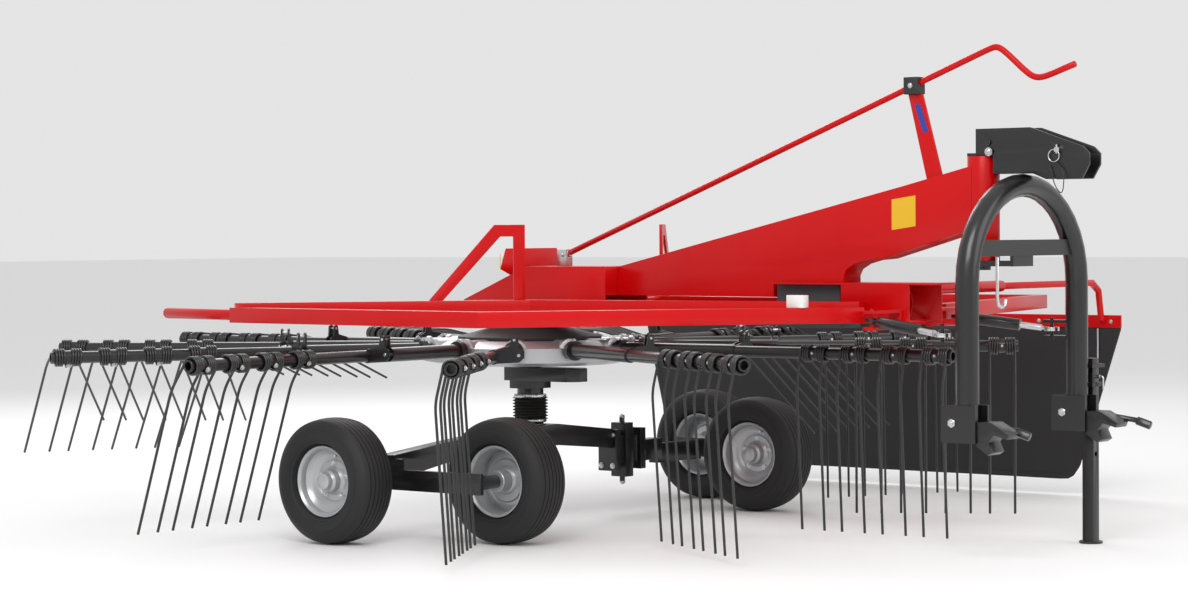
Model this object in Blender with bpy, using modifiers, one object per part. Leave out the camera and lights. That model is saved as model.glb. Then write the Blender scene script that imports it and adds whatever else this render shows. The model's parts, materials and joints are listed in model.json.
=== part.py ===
"""Single-rotor rotary hay rake for a three-point linkage.

Metres, +Z up. All sizes are given in the rotor's frame: the rotor turns about x = y = 0, +X points
to the tractor, +Y to the machine's left and the ground is z = 0. The empty "rake_origin" then moves
the whole machine, so that the world origin lies on the ground under the middle of its outline.
"""
import math

import bmesh
import bpy
from mathutils import Matrix, Vector

# ---- Driving dimensions ------------------------------------------------------------------------
GAP = 0.0003                 # between pieces that rest on one another
ORIGIN_X = -0.271            # world position of the rotor axis
ORIGIN_Y = -0.092

# Tandem wheels
TYRE_RADIUS = 0.2075
TYRE_WIDTH = 0.165
RIM_SEAT = 0.112             # radius on which the tyre sits
RIM_FLANGE = 0.118
RIM_WIDTH = 0.120
RIM_EDGE = 0.010             # from the rim's side to the inner face of its flange
HUB_RADIUS = 0.036
HUB_HALF = 0.052
STUB_RADIUS = 0.0125
WHEEL_STEPS = 18             # facets round a wheel, shared so that the tyre fits its rim
REAR_AXLE_X = 0.022
FRONT_AXLE_X = 0.488
ROCKER_Y = 0.864
ROCKER_THICK = 0.018
ROCKER_HEIGHT = 0.068
WHEEL_OFFSET = 0.1604        # wheel centre from the rocker's middle plane

# Cross axle
AXLE_X = 0.100
AXLE_THICK = 0.060
BRACKET_INNER = 0.310        # tilt bracket, from y to y
BRACKET_OUTER = 0.487
ARM_INNER_Z = (0.180, 0.257)
ARM_OUTER_Z = (0.165, 0.235)
ARM_STEP_Y = 0.600

# Rotor
ARM_COUNT = 12
ARM_FIRST_DEG = -57.73
ARM_Z = 0.6113
ARM_TIP = 1.7215
ARM_ROOT = 0.300
TINE_TUBE = 0.020            # radius of the tube that holds the tines
SLEEVE = 0.024               # radius of the inner half
SLEEVE_END = 0.880
HUB_RING = 0.380
HUB_BOTTOM = 0.554
HUB_TOP = 0.640
COVER_RADIUS = 0.257
COVER_TOP = 0.690
COLUMN_RADIUS = 0.040
COLUMN_BOTTOM = 0.270
SHAFT_CLEAR = 0.0005
TINE_PLACES = (1.665, 1.511, 1.356, 1.201)
TINE_SPREAD = 0.0435
TINE_WIRE = 0.0085           # side of the square bar that stands for a wire
TINE_KINK = (0.050, -0.105)
TINE_TIP = (0.020, -0.585)
ARM_SIDES = 8
COLLAR = (0.392, 0.416)      # stop collar on the sleeve, from radius to radius
COLLAR_RISE = 0.010
COIL_RADIUS = 0.031
COIL_LENGTH = 0.100
# Tilt of each arm's tines in degrees: the cam lifts them on the way back to the windrow
TINE_TILT = (0.0, 0.0, 0.0, 0.0, 5.0, 50.0, 75.0, 80.0, 72.0, 58.0, 52.0, 22.0)

# Gearbox, its frame and the drawbar
GEARBOX_RADIUS = 0.110
GEARBOX_BOTTOM = 0.700
GEARBOX_TOP = 0.800
DOME_HALF = 0.120
DOME_REAR_X = -0.206
DOME_BREAK_X = 0.086
DOME_FRONT_X = 0.440
DOME_TOP = 0.900
DOME_EDGE = 0.782
DOME_BOTTOM = 0.740
SHEET = 0.006
BEAM_WIDTH = 0.100
BEAM_END_X = 1.862
BEAM_TOP_Z = (0.898, 1.158, 1.218)
BEAM_KNEE_X = 1.605
BEAM_BOTTOM = 0.800
BEAM_STEP_X = 1.100
BEAM_STEP_Z = 0.8488
ARCH_START = (1.378, 0.870)
ARCH_END = (1.522, 0.925)
BEAM_NOSE_Z = 1.019
PIVOT_X = 1.877
PIVOT_RADIUS = 0.051
PIVOT_PIN = 0.022
PIVOT_BOTTOM = 0.920
PIVOT_TOP = 1.248

# Drive line
DECK_X = (1.120, 1.740)
DECK_HALF = 0.100
DECK_Z = (0.8425, 0.8485)
CHEEK_X = (1.400, 1.660)
HOUSING_X = (1.120, 1.370)
HOUSING_HALF = 0.060
HOUSING_BOTTOM = 0.700
PTO_Z = 0.784
PTO_GUARD_RADIUS = 0.0525
PTO_GUARD_WALL = 0.005
PTO_GUARD_END = 1.580
PTO_RADIUS = 0.0175
PTO_END = 1.574

# Guard rails
RAIL = 0.050                 # side of the square tube
RAIL_Z = 0.750
INNER_RAIL_Z = 0.765
TIP_RADIUS = 0.018
RIGHT_TIP = (-0.738, -1.056)
RIGHT_JOINT = (-0.331, -1.129)
RIGHT_CORNER = (0.802, -1.187)
RIGHT_FRONT = (1.567, -0.227)
INNER_CORNER = (0.310, -0.360)
INNER_FRONT = (1.530, -0.170)
LEFT_TIP = (-0.738, 1.400)
LEFT_JOINT = (-0.331, 1.450)
LEFT_CORNER = (1.180, 1.550)
LEFT_FRONT = (1.567, 0.227)
HOOP_TOP = 1.045
HOOP_WIDTH = 0.040
HOOP_THICK = 0.010

# Curtain
CURTAIN_Y = 1.900
CURTAIN_THICK = 0.006
CURTAIN_BOTTOM = 0.060
RAIL_BOTTOM = 0.643
RAIL_TOP = 0.691
CURTAIN_REAR = -0.950
CURTAIN_FRONT = 1.322
CARRIER_Z = 0.815
CARRIER_RADIUS = 0.014
SOCKET_RADIUS = 0.020
CARRIER_X = (-0.060, 1.250)
SOCKET_END = 1.150

# Headstock
HEAD_X = 2.020
HEAD_HALF = 0.333
HEAD_TUBE = 0.036
HEAD_SPRING = 0.850          # height at which the arch begins
HEAD_APEX = 1.155
HEAD_FOOT = 0.370
CROSS_Z = (0.935, 0.985)
FOOT_PLATE = 0.010
FOOT_X = (1.950, 2.072)
FOOT_Z = (0.370, 0.484)
LINK_PIN = (1.990, 0.430)
LINK_PIN_RADIUS = 0.011
TOP_PLATE_Y = 0.034
TOP_PLATE = 0.008
TOP_HOLE = (2.166, 1.262)
TOP_HOLE_RADIUS = 0.0105

# Swivel struts and the parking stand
STRUT_REAR = (1.620, -0.2525, 0.734)
STRUT_EYE = (1.930, 0.003 - HEAD_HALF, 0.695)
STRUT_TUBE = 0.019
STRUT_ROD = 0.010
STRUT_TUBE_LENGTH = 0.215
EYE_RADIUS = 0.025
EYE_HOLE = 0.0140
EYE_THICK = 0.012
EYE_PIN = 0.006
CLEVIS_GAP = 0.040
STAND_X = 2.026
STAND_SIDE = 0.040
STAND_Y = HEAD_HALF + HEAD_TUBE + FOOT_PLATE / 2 + 0.016 + STAND_SIDE / 2
STAND_TOP = 0.600
STAND_FOOT = 0.0385

# Height crank
CRANK_RADIUS = 0.010
CRANK_PATH = ((0.188, 0.947), (1.373, 1.389), (1.900, 1.586), (1.925, 1.592), (1.950, 1.581),
              (2.040, 1.502), (2.069, 1.489), (2.100, 1.491), (2.205, 1.526))
POST_TOP = (1.620, 1.476)
POST_FOOT_X = 1.700


# ---- Scene, materials and shape helpers --------------------------------------------------------
def clear_scene():
    """Remove every object that the file opened with."""
    for obj in list(bpy.data.objects):
        bpy.data.objects.remove(obj, do_unlink=True)


def new_collection(name):
    """A collection linked to the scene."""
    collection = bpy.data.collections.new(name)
    bpy.context.scene.collection.children.link(collection)
    return collection


def paint(name, colour, roughness, metallic=0.0):
    """A Principled BSDF material of one colour."""
    material = bpy.data.materials.new(name)
    material.use_nodes = True
    shader = material.node_tree.nodes["Principled BSDF"]
    shader.inputs["Base Color"].default_value = (*colour, 1.0)
    shader.inputs["Roughness"].default_value = roughness
    shader.inputs["Metallic"].default_value = metallic
    return material


def new_empty(name, location, parent=None):
    """An empty on a joint's axis, or the machine's origin."""
    empty = bpy.data.objects.new(name, None)
    empty.location = location
    empty.parent = parent
    PARTS.objects.link(empty)
    return empty


def work_piece(mesh, name="piece"):
    """A loose piece that a later union or cut takes up."""
    obj = bpy.data.objects.new(name, mesh)
    WORK.objects.link(obj)
    return obj


def mesh_piece(build):
    """A loose piece from a function that fills a bmesh."""
    shape = bmesh.new()
    build(shape)
    bmesh.ops.recalc_face_normals(shape, faces=shape.faces)
    mesh = bpy.data.meshes.new("piece")
    shape.to_mesh(mesh)
    shape.free()
    return work_piece(mesh)


def box(x, y, z):
    """A box between three pairs of coordinates."""
    centre = Vector((sum(x), sum(y), sum(z))) / 2
    size = (x[1] - x[0], y[1] - y[0], z[1] - z[0])
    matrix = Matrix.Translation(centre) @ Matrix.Diagonal((*size, 1.0))
    return mesh_piece(lambda shape: bmesh.ops.create_cube(shape, size=1.0, matrix=matrix))


def cylinder(start, end, radius, sides=12, end_radius=None):
    """A round bar, or a cone, from one point to another."""
    start = Vector(start)
    span = Vector(end) - start
    turn = span.to_track_quat("Z", "Y").to_matrix().to_4x4()
    matrix = Matrix.Translation(start + span / 2) @ turn
    tip = radius if end_radius is None else end_radius
    return mesh_piece(lambda shape: bmesh.ops.create_cone(
        shape, cap_ends=True, segments=sides, radius1=radius, radius2=tip, depth=span.length,
        matrix=matrix))


def curve_mesh(curve):
    """The closed mesh of a curve, with its caps welded on."""
    obj = bpy.data.objects.new("curve", curve)
    WORK.objects.link(obj)
    depsgraph = bpy.context.evaluated_depsgraph_get()
    mesh = bpy.data.meshes.new_from_object(obj.evaluated_get(depsgraph))
    bpy.data.objects.remove(obj, do_unlink=True)
    shape = bmesh.new()
    shape.from_mesh(mesh)
    bmesh.ops.remove_doubles(shape, verts=shape.verts, dist=0.00005)
    bmesh.ops.recalc_face_normals(shape, faces=shape.faces)
    shape.to_mesh(mesh)
    shape.free()
    return mesh


def tube(points, radius, resolution=1, square=False):
    """A bar along points: round, or square with its sides level."""
    curve = bpy.data.curves.new("tube", "CURVE")
    curve.dimensions = "3D"
    curve.twist_mode = "Z_UP"
    curve.bevel_depth = radius
    curve.bevel_resolution = 0 if square else resolution
    curve.use_fill_caps = True
    spline = curve.splines.new("POLY")
    spline.points.add(len(points) - 1)
    for target, point in zip(spline.points, points):
        target.co = (*point, 1.0)
        target.tilt = math.pi / 4 if square else 0.0
    return work_piece(curve_mesh(curve))


def square_tube(points, side):
    """A square bar with level top and bottom along points."""
    return tube(points, side / math.sqrt(2), square=True)


AXES = {
    "XZ": Matrix(((1, 0, 0, 0), (0, 0, -1, 0), (0, 1, 0, 0), (0, 0, 0, 1))),
    "YZ": Matrix(((0, 0, 1, 0), (1, 0, 0, 0), (0, 1, 0, 0), (0, 0, 0, 1))),
    "XY": Matrix.Identity(4),
}
ACROSS = {"XZ": Vector((0, 1, 0)), "YZ": Vector((1, 0, 0)), "XY": Vector((0, 0, 1))}


def slab(plane, outline, low, high):
    """A flat outline in one plane, as thick as low to high across it."""
    curve = bpy.data.curves.new("slab", "CURVE")
    curve.dimensions = "2D"
    curve.fill_mode = "BOTH"
    curve.extrude = (high - low) / 2
    spline = curve.splines.new("POLY")
    spline.use_cyclic_u = True
    spline.points.add(len(outline) - 1)
    for target, point in zip(spline.points, outline):
        target.co = (*point, 0.0, 1.0)
    mesh = curve_mesh(curve)
    mesh.transform(Matrix.Translation(ACROSS[plane] * (low + high) / 2) @ AXES[plane])
    return work_piece(mesh)


def arc(centre, radius, start_deg, end_deg, steps):
    """Points on an arc, both ends included."""
    angles = [math.radians(start_deg + (end_deg - start_deg) * i / steps) for i in range(steps + 1)]
    return [(centre[0] + radius * math.cos(t), centre[1] + radius * math.sin(t)) for t in angles]


def turned(profile, steps):
    """A profile of (radius, height) turned about Z, running down its outer side."""
    mesh = bpy.data.meshes.new("turned")
    closed = profile[0][0] > 0
    edges = [(i, i + 1) for i in range(len(profile) - 1)]
    if closed:
        edges.append((len(profile) - 1, 0))
    mesh.from_pydata([(r, 0.0, z) for r, z in profile], edges, [])
    obj = work_piece(mesh)
    screw = obj.modifiers.new("turn", "SCREW")
    screw.steps = steps
    screw.render_steps = steps
    screw.use_merge_vertices = True
    screw.merge_threshold = 0.00005
    return bake(obj)


def bake(obj):
    """Replace an object's mesh by the one that its modifiers make."""
    depsgraph = bpy.context.evaluated_depsgraph_get()
    mesh = bpy.data.meshes.new_from_object(obj.evaluated_get(depsgraph))
    shape = bmesh.new()
    shape.from_mesh(mesh)
    bmesh.ops.remove_doubles(shape, verts=shape.verts, dist=0.00002)
    bmesh.ops.dissolve_degenerate(shape, edges=shape.edges, dist=0.00002)
    bmesh.ops.recalc_face_normals(shape, faces=shape.faces)
    shape.to_mesh(mesh)
    shape.free()
    obj.modifiers.clear()
    obj.data = mesh
    return obj


def combine(pieces, cutters=()):
    """Weld pieces into the first one, then cut the cutters out of it."""
    base = pieces[0]
    steps = [(piece, "UNION") for piece in pieces[1:]] + [(piece, "DIFFERENCE") for piece in cutters]
    for piece, operation in steps:
        modifier = base.modifiers.new(operation.lower(), "BOOLEAN")
        modifier.operation = operation
        modifier.solver = "EXACT"
        modifier.object = piece
    bake(base)
    for piece, _ in steps:
        bpy.data.objects.remove(piece, do_unlink=True)
    return base


def keep(obj, name, material, parent=None):
    """Make a piece a named sub-part that hangs on an empty, without moving it."""
    parent = parent or ROOT
    obj.name = name
    obj.data.name = name
    obj.data.materials.clear()
    obj.data.materials.append(material)
    obj.data.shade_smooth()
    obj.data.set_sharp_from_angle(angle=math.radians(35))
    WORK.objects.unlink(obj)
    PARTS.objects.link(obj)
    obj.parent = parent
    if parent is not ROOT:
        obj.matrix_parent_inverse = Matrix.Translation(parent.location).inverted()
    return obj


# ---- Wheels and axle ---------------------------------------------------------------------------
def tyre_profile():
    """Section of the tyre: tread and side walls outside, the bead seat inside."""
    half = TYRE_WIDTH / 2
    bead = RIM_WIDTH / 2 - RIM_EDGE - 2 * GAP
    side = RIM_SEAT + GAP
    lip = RIM_FLANGE + 2 * GAP
    return [(side, bead - 0.004), (lip, bead), (lip, RIM_WIDTH / 2), (RIM_FLANGE + 0.012, half - 0.008),
            (TYRE_RADIUS - 0.050, half), (TYRE_RADIUS - 0.014, half - 0.014),
            (TYRE_RADIUS, half - 0.048), (TYRE_RADIUS, -half + 0.048),
            (TYRE_RADIUS - 0.014, -half + 0.014), (TYRE_RADIUS - 0.050, -half),
            (RIM_FLANGE + 0.012, -half + 0.008), (lip, -RIM_WIDTH / 2), (lip, -bead), (side, 0.004 - bead)]


def rim_profile():
    """Section of the rim, its disc and its capped hub; the cap is at the top."""
    half = RIM_WIDTH / 2
    bore = STUB_RADIUS + SHAFT_CLEAR
    return [(0.0, HUB_HALF + 0.012), (HUB_RADIUS - 0.010, HUB_HALF + 0.010), (HUB_RADIUS, HUB_HALF),
            (HUB_RADIUS, 0.010), (RIM_SEAT - 0.030, 0.018), (RIM_SEAT - 0.010, 0.026),
            (RIM_SEAT - 0.010, half - 0.008), (RIM_FLANGE, half - 0.004), (RIM_FLANGE, half - RIM_EDGE),
            (RIM_SEAT, half - RIM_EDGE - 0.004), (RIM_SEAT, RIM_EDGE + 0.004 - half),
            (RIM_FLANGE, RIM_EDGE - half), (RIM_FLANGE, 0.004 - half), (RIM_SEAT - 0.010, -half + 0.008),
            (RIM_SEAT - 0.010, 0.010), (RIM_SEAT - 0.030, 0.004), (HUB_RADIUS, -0.004),
            (HUB_RADIUS, -HUB_HALF), (bore, -HUB_HALF), (bore, HUB_HALF - 0.010),
            (0.0, HUB_HALF - 0.010)]


def wheel_places():
    """Name, x, side of the machine and side of the rocker for each wheel."""
    for side_name, side in (("right", -1), ("left", 1)):
        yield f"{side_name}_rear", REAR_AXLE_X, side, side
        yield f"{side_name}_front", FRONT_AXLE_X, side, -side


def build_wheels(rubber, silver):
    """Four tandem wheels, each a tyre on a rim with its cap away from the rocker."""
    tyre_shape = turned(tyre_profile(), WHEEL_STEPS)
    rim_shape = turned(rim_profile(), WHEEL_STEPS)
    for place, x, side, outward in wheel_places():
        axis = new_empty(f"wheel_axis_{place}", (x, side * ROCKER_Y + outward * WHEEL_OFFSET,
                                                 TYRE_RADIUS), ROOT)
        for kind, shape, material in (("tyre", tyre_shape, rubber), ("rim", rim_shape, silver)):
            obj = work_piece(shape.data.copy())
            obj.data.transform(Matrix.Rotation(-outward * math.pi / 2, 4, "X"))
            keep(obj, f"{kind}_{place}", material, axis)
            obj.matrix_parent_inverse = Matrix.Identity(4)
    for shape in (tyre_shape, rim_shape):
        bpy.data.objects.remove(shape, do_unlink=True)


def build_rockers(black):
    """Tandem rocker bars with a stub axle to each side."""
    half = ROCKER_THICK / 2
    reach = WHEEL_OFFSET + HUB_HALF - 0.011
    for name, side in (("right", -1), ("left", 1)):
        y = side * ROCKER_Y
        ends = (REAR_AXLE_X - 0.034, FRONT_AXLE_X + 0.034)
        pieces = [box(ends, (y - half, y + half), (TYRE_RADIUS - ROCKER_HEIGHT / 2 - 0.002,
                                                   TYRE_RADIUS + ROCKER_HEIGHT / 2 - 0.002))]
        for x, outward in ((REAR_AXLE_X, side), (FRONT_AXLE_X, -side)):
            face = y + outward * (half - 0.004)
            shoulder = y + outward * (WHEEL_OFFSET - HUB_HALF - GAP)
            pieces.append(cylinder((x, face, TYRE_RADIUS), (x, shoulder, TYRE_RADIUS), 0.022, 16))
            pieces.append(cylinder((x, face, TYRE_RADIUS), (x, y + outward * reach, TYRE_RADIUS),
                                   STUB_RADIUS, 16))
        keep(combine(pieces), f"rocker_{name}", black)


def build_axle(black):
    """Cross axle from the right rocker to the tilt bracket, and the arm to the left rocker."""
    low, high = AXLE_X - AXLE_THICK / 2, AXLE_X + AXLE_THICK / 2
    end = ROCKER_Y - ROCKER_THICK / 2 - GAP
    outline = [(-end, 0.284), (-0.600, 0.310), (-0.300, 0.335), (0.0, 0.342),
               (BRACKET_INNER - GAP, 0.307), (BRACKET_INNER - GAP, 0.237), (0.0, 0.266),
               (-0.300, 0.260), (-0.600, 0.240), (-end, 0.200)]
    beam = slab("YZ", outline, low, high)
    plate = box((low - 0.030, high + 0.030), (-end, -end + 0.016), (0.180, 0.272))
    keep(combine([beam, plate]), "axle_beam", black)

    middle = (BRACKET_INNER + BRACKET_OUTER) / 2
    pieces = [box((low - 0.010, high + 0.010), (BRACKET_INNER, BRACKET_INNER + 0.030), (0.153, 0.303)),
              box((low - 0.010, high + 0.010), (BRACKET_OUTER - 0.030, BRACKET_OUTER), (0.153, 0.303)),
              box((low + 0.006, high - 0.006), (BRACKET_INNER + 0.01, BRACKET_OUTER - 0.01), (0.180, 0.276)),
              box((low - 0.004, high + 0.004), (middle - 0.022, middle + 0.022), (0.128, 0.325))]
    pieces += [cylinder((AXLE_X, middle, z0), (AXLE_X, middle, z1), 0.010, 8)
               for z0, z1 in ((0.109, 0.135), (0.318, 0.344))]
    keep(combine(pieces), "tilt_bracket", black)

    inner = box((low, high), (BRACKET_OUTER + GAP, ARM_STEP_Y), ARM_INNER_Z)
    outer = box((low + 0.012, high - 0.012), (ARM_STEP_Y - 0.020, end), ARM_OUTER_Z)
    plate = box((low - 0.030, high + 0.030), (end - 0.016, end), (0.172, 0.240))
    keep(combine([inner, outer, plate]), "axle_arm", black)


# ---- Rotor -------------------------------------------------------------------------------------
def build_column(black):
    """Fixed column: shaft up to the gearbox, bellows, cam plate and the foot on the axle."""
    low = AXLE_X - AXLE_THICK / 2
    shaft = cylinder((0, 0, COLUMN_BOTTOM), (0, 0, GEARBOX_BOTTOM - GAP), COLUMN_RADIUS, 24)
    sleeve = cylinder((0, 0, COLUMN_BOTTOM + 0.005), (0, 0, 0.500), 0.047, 20)
    bellows = cylinder((0, 0, 0.356), (0, 0, 0.432), 0.0525, 20)
    foot = box((-0.052, low - GAP), (-0.050, 0.050), (0.262, 0.322))
    block = box((-0.052, 0.052), (-0.052, 0.052), (0.465, 0.500))
    outline = [(-0.075, -0.055), (0.205, -0.055), (0.244, -0.022), (0.244, 0.022), (0.205, 0.055),
               (-0.075, 0.055)]
    plate = slab("XY", outline, 0.493, 0.540)
    keep(combine([shaft, sleeve, bellows, foot, block, plate]), "column", black)


def round_bore(radius, sides):
    """Radius of a faceted bore that clears a round shaft everywhere."""
    return (radius + SHAFT_CLEAR) / math.cos(math.pi / sides)


def arm_direction(index):
    """Unit vector of one arm in plan."""
    angle = math.radians(ARM_FIRST_DEG + index * 360 / ARM_COUNT)
    return Vector((math.cos(angle), math.sin(angle), 0.0))


def build_hub(silver, dark):
    """Hub ring with a socket for each arm, and the cone over it."""
    bore = round_bore(COLUMN_RADIUS, 24)
    ring = turned([(bore, HUB_TOP), (HUB_RING - 0.060, HUB_TOP), (HUB_RING, HUB_TOP - 0.022),
                   (HUB_RING, HUB_BOTTOM + 0.014), (HUB_RING - 0.070, HUB_BOTTOM), (bore, HUB_BOTTOM)],
                  24)
    ring.data.transform(Matrix.Rotation(math.radians(ARM_FIRST_DEG + 7.5), 4, "Z"))
    sockets = []
    for index in range(ARM_COUNT):
        out = arm_direction(index)
        start = out * (ARM_ROOT - GAP)
        end = out * (HUB_RING + 0.020)
        sockets.append(cylinder((start.x, start.y, ARM_Z), (end.x, end.y, ARM_Z),
                                round_bore(SLEEVE - GAP, ARM_SIDES), ARM_SIDES))
    keep(combine([ring], sockets), "rotor_hub", silver, ROTOR)
    cover = turned([(bore, COVER_TOP), (0.110, COVER_TOP), (COVER_RADIUS, HUB_TOP + 0.012),
                    (COVER_RADIUS, HUB_TOP + GAP), (bore, HUB_TOP + GAP)], 24)
    keep(cover, "rotor_cover", dark, ROTOR)


def bent_bar(x, path, side):
    """Square bar along a path of (y, z) in the plane of one x, mitred at its bends."""
    points = [Vector(point) for point in path]
    steps = [(after - before).normalized() for before, after in zip(points, points[1:])]
    verts = []
    for index, point in enumerate(points):
        first, last = steps[max(index - 1, 0)], steps[min(index, len(steps) - 1)]
        along = (first + last).normalized()
        across = Vector((-along.y, along.x)) * (side / 2 / along.dot(last))
        for dx, sign in ((-1, -1), (1, -1), (1, 1), (-1, 1)):
            verts.append((x + dx * side / 2, point.x + sign * across.x, point.y + sign * across.y))
    faces = [(0, 1, 2, 3), tuple(range(len(verts) - 4, len(verts)))]
    for ring in range(len(points) - 1):
        for edge in range(4):
            low, high = ring * 4 + edge, ring * 4 + (edge + 1) % 4
            faces.append((low, high, high + 4, low + 4))
    mesh = bpy.data.meshes.new("bar")
    mesh.from_pydata(verts, [], faces)
    return bake(work_piece(mesh))


def arm_profile():
    """Half section of an arm from its tip to its root: tine tube with its coil collars, then the sleeve."""
    profile = [(0.0, ARM_TIP), (TINE_TUBE, ARM_TIP)]
    for reach in TINE_PLACES:
        outer, inner = reach + COIL_LENGTH / 2, reach - COIL_LENGTH / 2
        profile += [(TINE_TUBE, outer), (COIL_RADIUS, outer), (COIL_RADIUS, inner), (TINE_TUBE, inner)]
    sleeve = SLEEVE - GAP
    collar = sleeve + COLLAR_RISE
    profile += [(TINE_TUBE, SLEEVE_END), (sleeve, SLEEVE_END), (sleeve, COLLAR[1]), (collar, COLLAR[1]),
                (collar, COLLAR[0]), (sleeve, COLLAR[0]), (sleeve, ARM_ROOT), (0.0, ARM_ROOT)]
    return profile


def build_arms(black):
    """Twelve arms; the lock lug leads, the tines trail and are lifted by the arm's own tilt."""
    for index in range(ARM_COUNT):
        bar = turned(arm_profile(), ARM_SIDES)
        bar.data.transform(Matrix.Rotation(math.pi / 2, 4, "Y"))
        lug = box((SLEEVE_END - 0.024, SLEEVE_END + 0.006), (0.010, 0.100), (-0.017, 0.030))
        rise = box((SLEEVE_END - 0.020, SLEEVE_END + 0.002), (0.060, 0.080), (0.020, 0.070))
        tilt = Matrix.Rotation(-math.radians(TINE_TILT[index]), 4, "X")
        wires = []
        for reach in TINE_PLACES:
            for offset in (-TINE_SPREAD, TINE_SPREAD):
                path = [(-trail, height) for trail, height in ((0.018, 0.0), TINE_KINK, TINE_TIP)]
                wire = bent_bar(reach + offset, path, TINE_WIRE)
                wire.data.transform(tilt)
                wires.append(wire)
        arm = combine([bar, lug, rise, *wires])
        angle = math.radians(ARM_FIRST_DEG + index * 360 / ARM_COUNT)
        arm.data.transform(Matrix.Translation((0, 0, ARM_Z)) @ Matrix.Rotation(angle, 4, "Z"))
        keep(arm, f"tine_arm_{index + 1:02d}", black, ROTOR)


# ---- Gearbox, drawbar and drive line -----------------------------------------------------------
def build_gearbox(iron, red):
    """Gearbox block on the column's shaft, under a folded red frame."""
    low = 0.7 * GEARBOX_RADIUS
    casing = turned([(0.0, GEARBOX_TOP), (low, GEARBOX_TOP), (GEARBOX_RADIUS, GEARBOX_TOP - 0.030),
                     (GEARBOX_RADIUS, GEARBOX_BOTTOM + 0.020), (low, GEARBOX_BOTTOM), (0.0, GEARBOX_BOTTOM)],
                    20)
    neck = cylinder((0.05, 0, 0.752), (0.180, 0, 0.752), 0.034, 12)
    lugs = [box((-0.030, 0.030), (side * 0.080 if side > 0 else -DOME_HALF + SHEET + GAP,
                                  DOME_HALF - SHEET - GAP if side > 0 else side * 0.080),
                (0.735, 0.765)) for side in (-1, 1)]
    keep(combine([casing, neck, *lugs]), "gearbox", iron)

    rear = [(DOME_REAR_X, DOME_BOTTOM), (DOME_REAR_X, DOME_EDGE), (DOME_BREAK_X, DOME_TOP),
            (DOME_FRONT_X, DOME_TOP)]
    inside = [(DOME_FRONT_X, BEAM_BOTTOM), (DOME_FRONT_X - SHEET, BEAM_BOTTOM),
              (DOME_FRONT_X - SHEET, DOME_TOP - SHEET), (DOME_BREAK_X + 0.002, DOME_TOP - SHEET),
              (DOME_REAR_X + SHEET, DOME_EDGE - 0.004), (DOME_REAR_X + SHEET, DOME_BOTTOM)]
    cheek = rear + [(DOME_FRONT_X, DOME_BOTTOM)]
    pieces = [slab("XZ", rear + inside, -DOME_HALF + SHEET / 2, DOME_HALF - SHEET / 2)]
    pieces += [slab("XZ", cheek, side * DOME_HALF - (SHEET if side > 0 else 0),
                    side * DOME_HALF + (SHEET if side < 0 else 0)) for side in (-1, 1)]
    keep(combine(pieces), "gearbox_frame", red)


def build_beam(red):
    """Drawbar box with its arch, and the pivot tube of the headstock at its nose."""
    half = BEAM_WIDTH / 2
    bend = arc((ARCH_END[0], ARCH_START[1]), ARCH_END[1] - ARCH_START[1], 180, 90, 4)[1:-1]
    bend = [(ARCH_START[0] + (x - ARCH_END[0] + 0.055) * 0.144 / 0.055, z) for x, z in bend]
    outline = [(DOME_FRONT_X + GAP, BEAM_TOP_Z[0]), (DOME_FRONT_X + GAP, BEAM_BOTTOM),
               (BEAM_STEP_X, BEAM_BOTTOM), (BEAM_STEP_X, BEAM_STEP_Z), (ARCH_START[0], BEAM_STEP_Z),
               ARCH_START, *bend, ARCH_END, (BEAM_END_X, BEAM_NOSE_Z),
               (BEAM_END_X, BEAM_TOP_Z[2]), (BEAM_KNEE_X, BEAM_TOP_Z[1])]
    beam = slab("XZ", outline, -half, half)
    nose = cylinder((PIVOT_X, 0, PIVOT_BOTTOM), (PIVOT_X, 0, PIVOT_TOP), PIVOT_RADIUS, 20)
    bore = cylinder((PIVOT_X, 0, PIVOT_BOTTOM - 0.02), (PIVOT_X, 0, PIVOT_TOP + 0.02),
                    round_bore(PIVOT_PIN, 16), 16)
    web = slab("XZ", [(BEAM_END_X - 0.06, 1.012), (PIVOT_X - 0.04, 0.930), (PIVOT_X - 0.02, 0.930),
                      (PIVOT_X - 0.02, 1.030)], -0.006, 0.006)
    keep(combine([beam, nose, web], [bore]), "main_beam", red)


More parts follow.
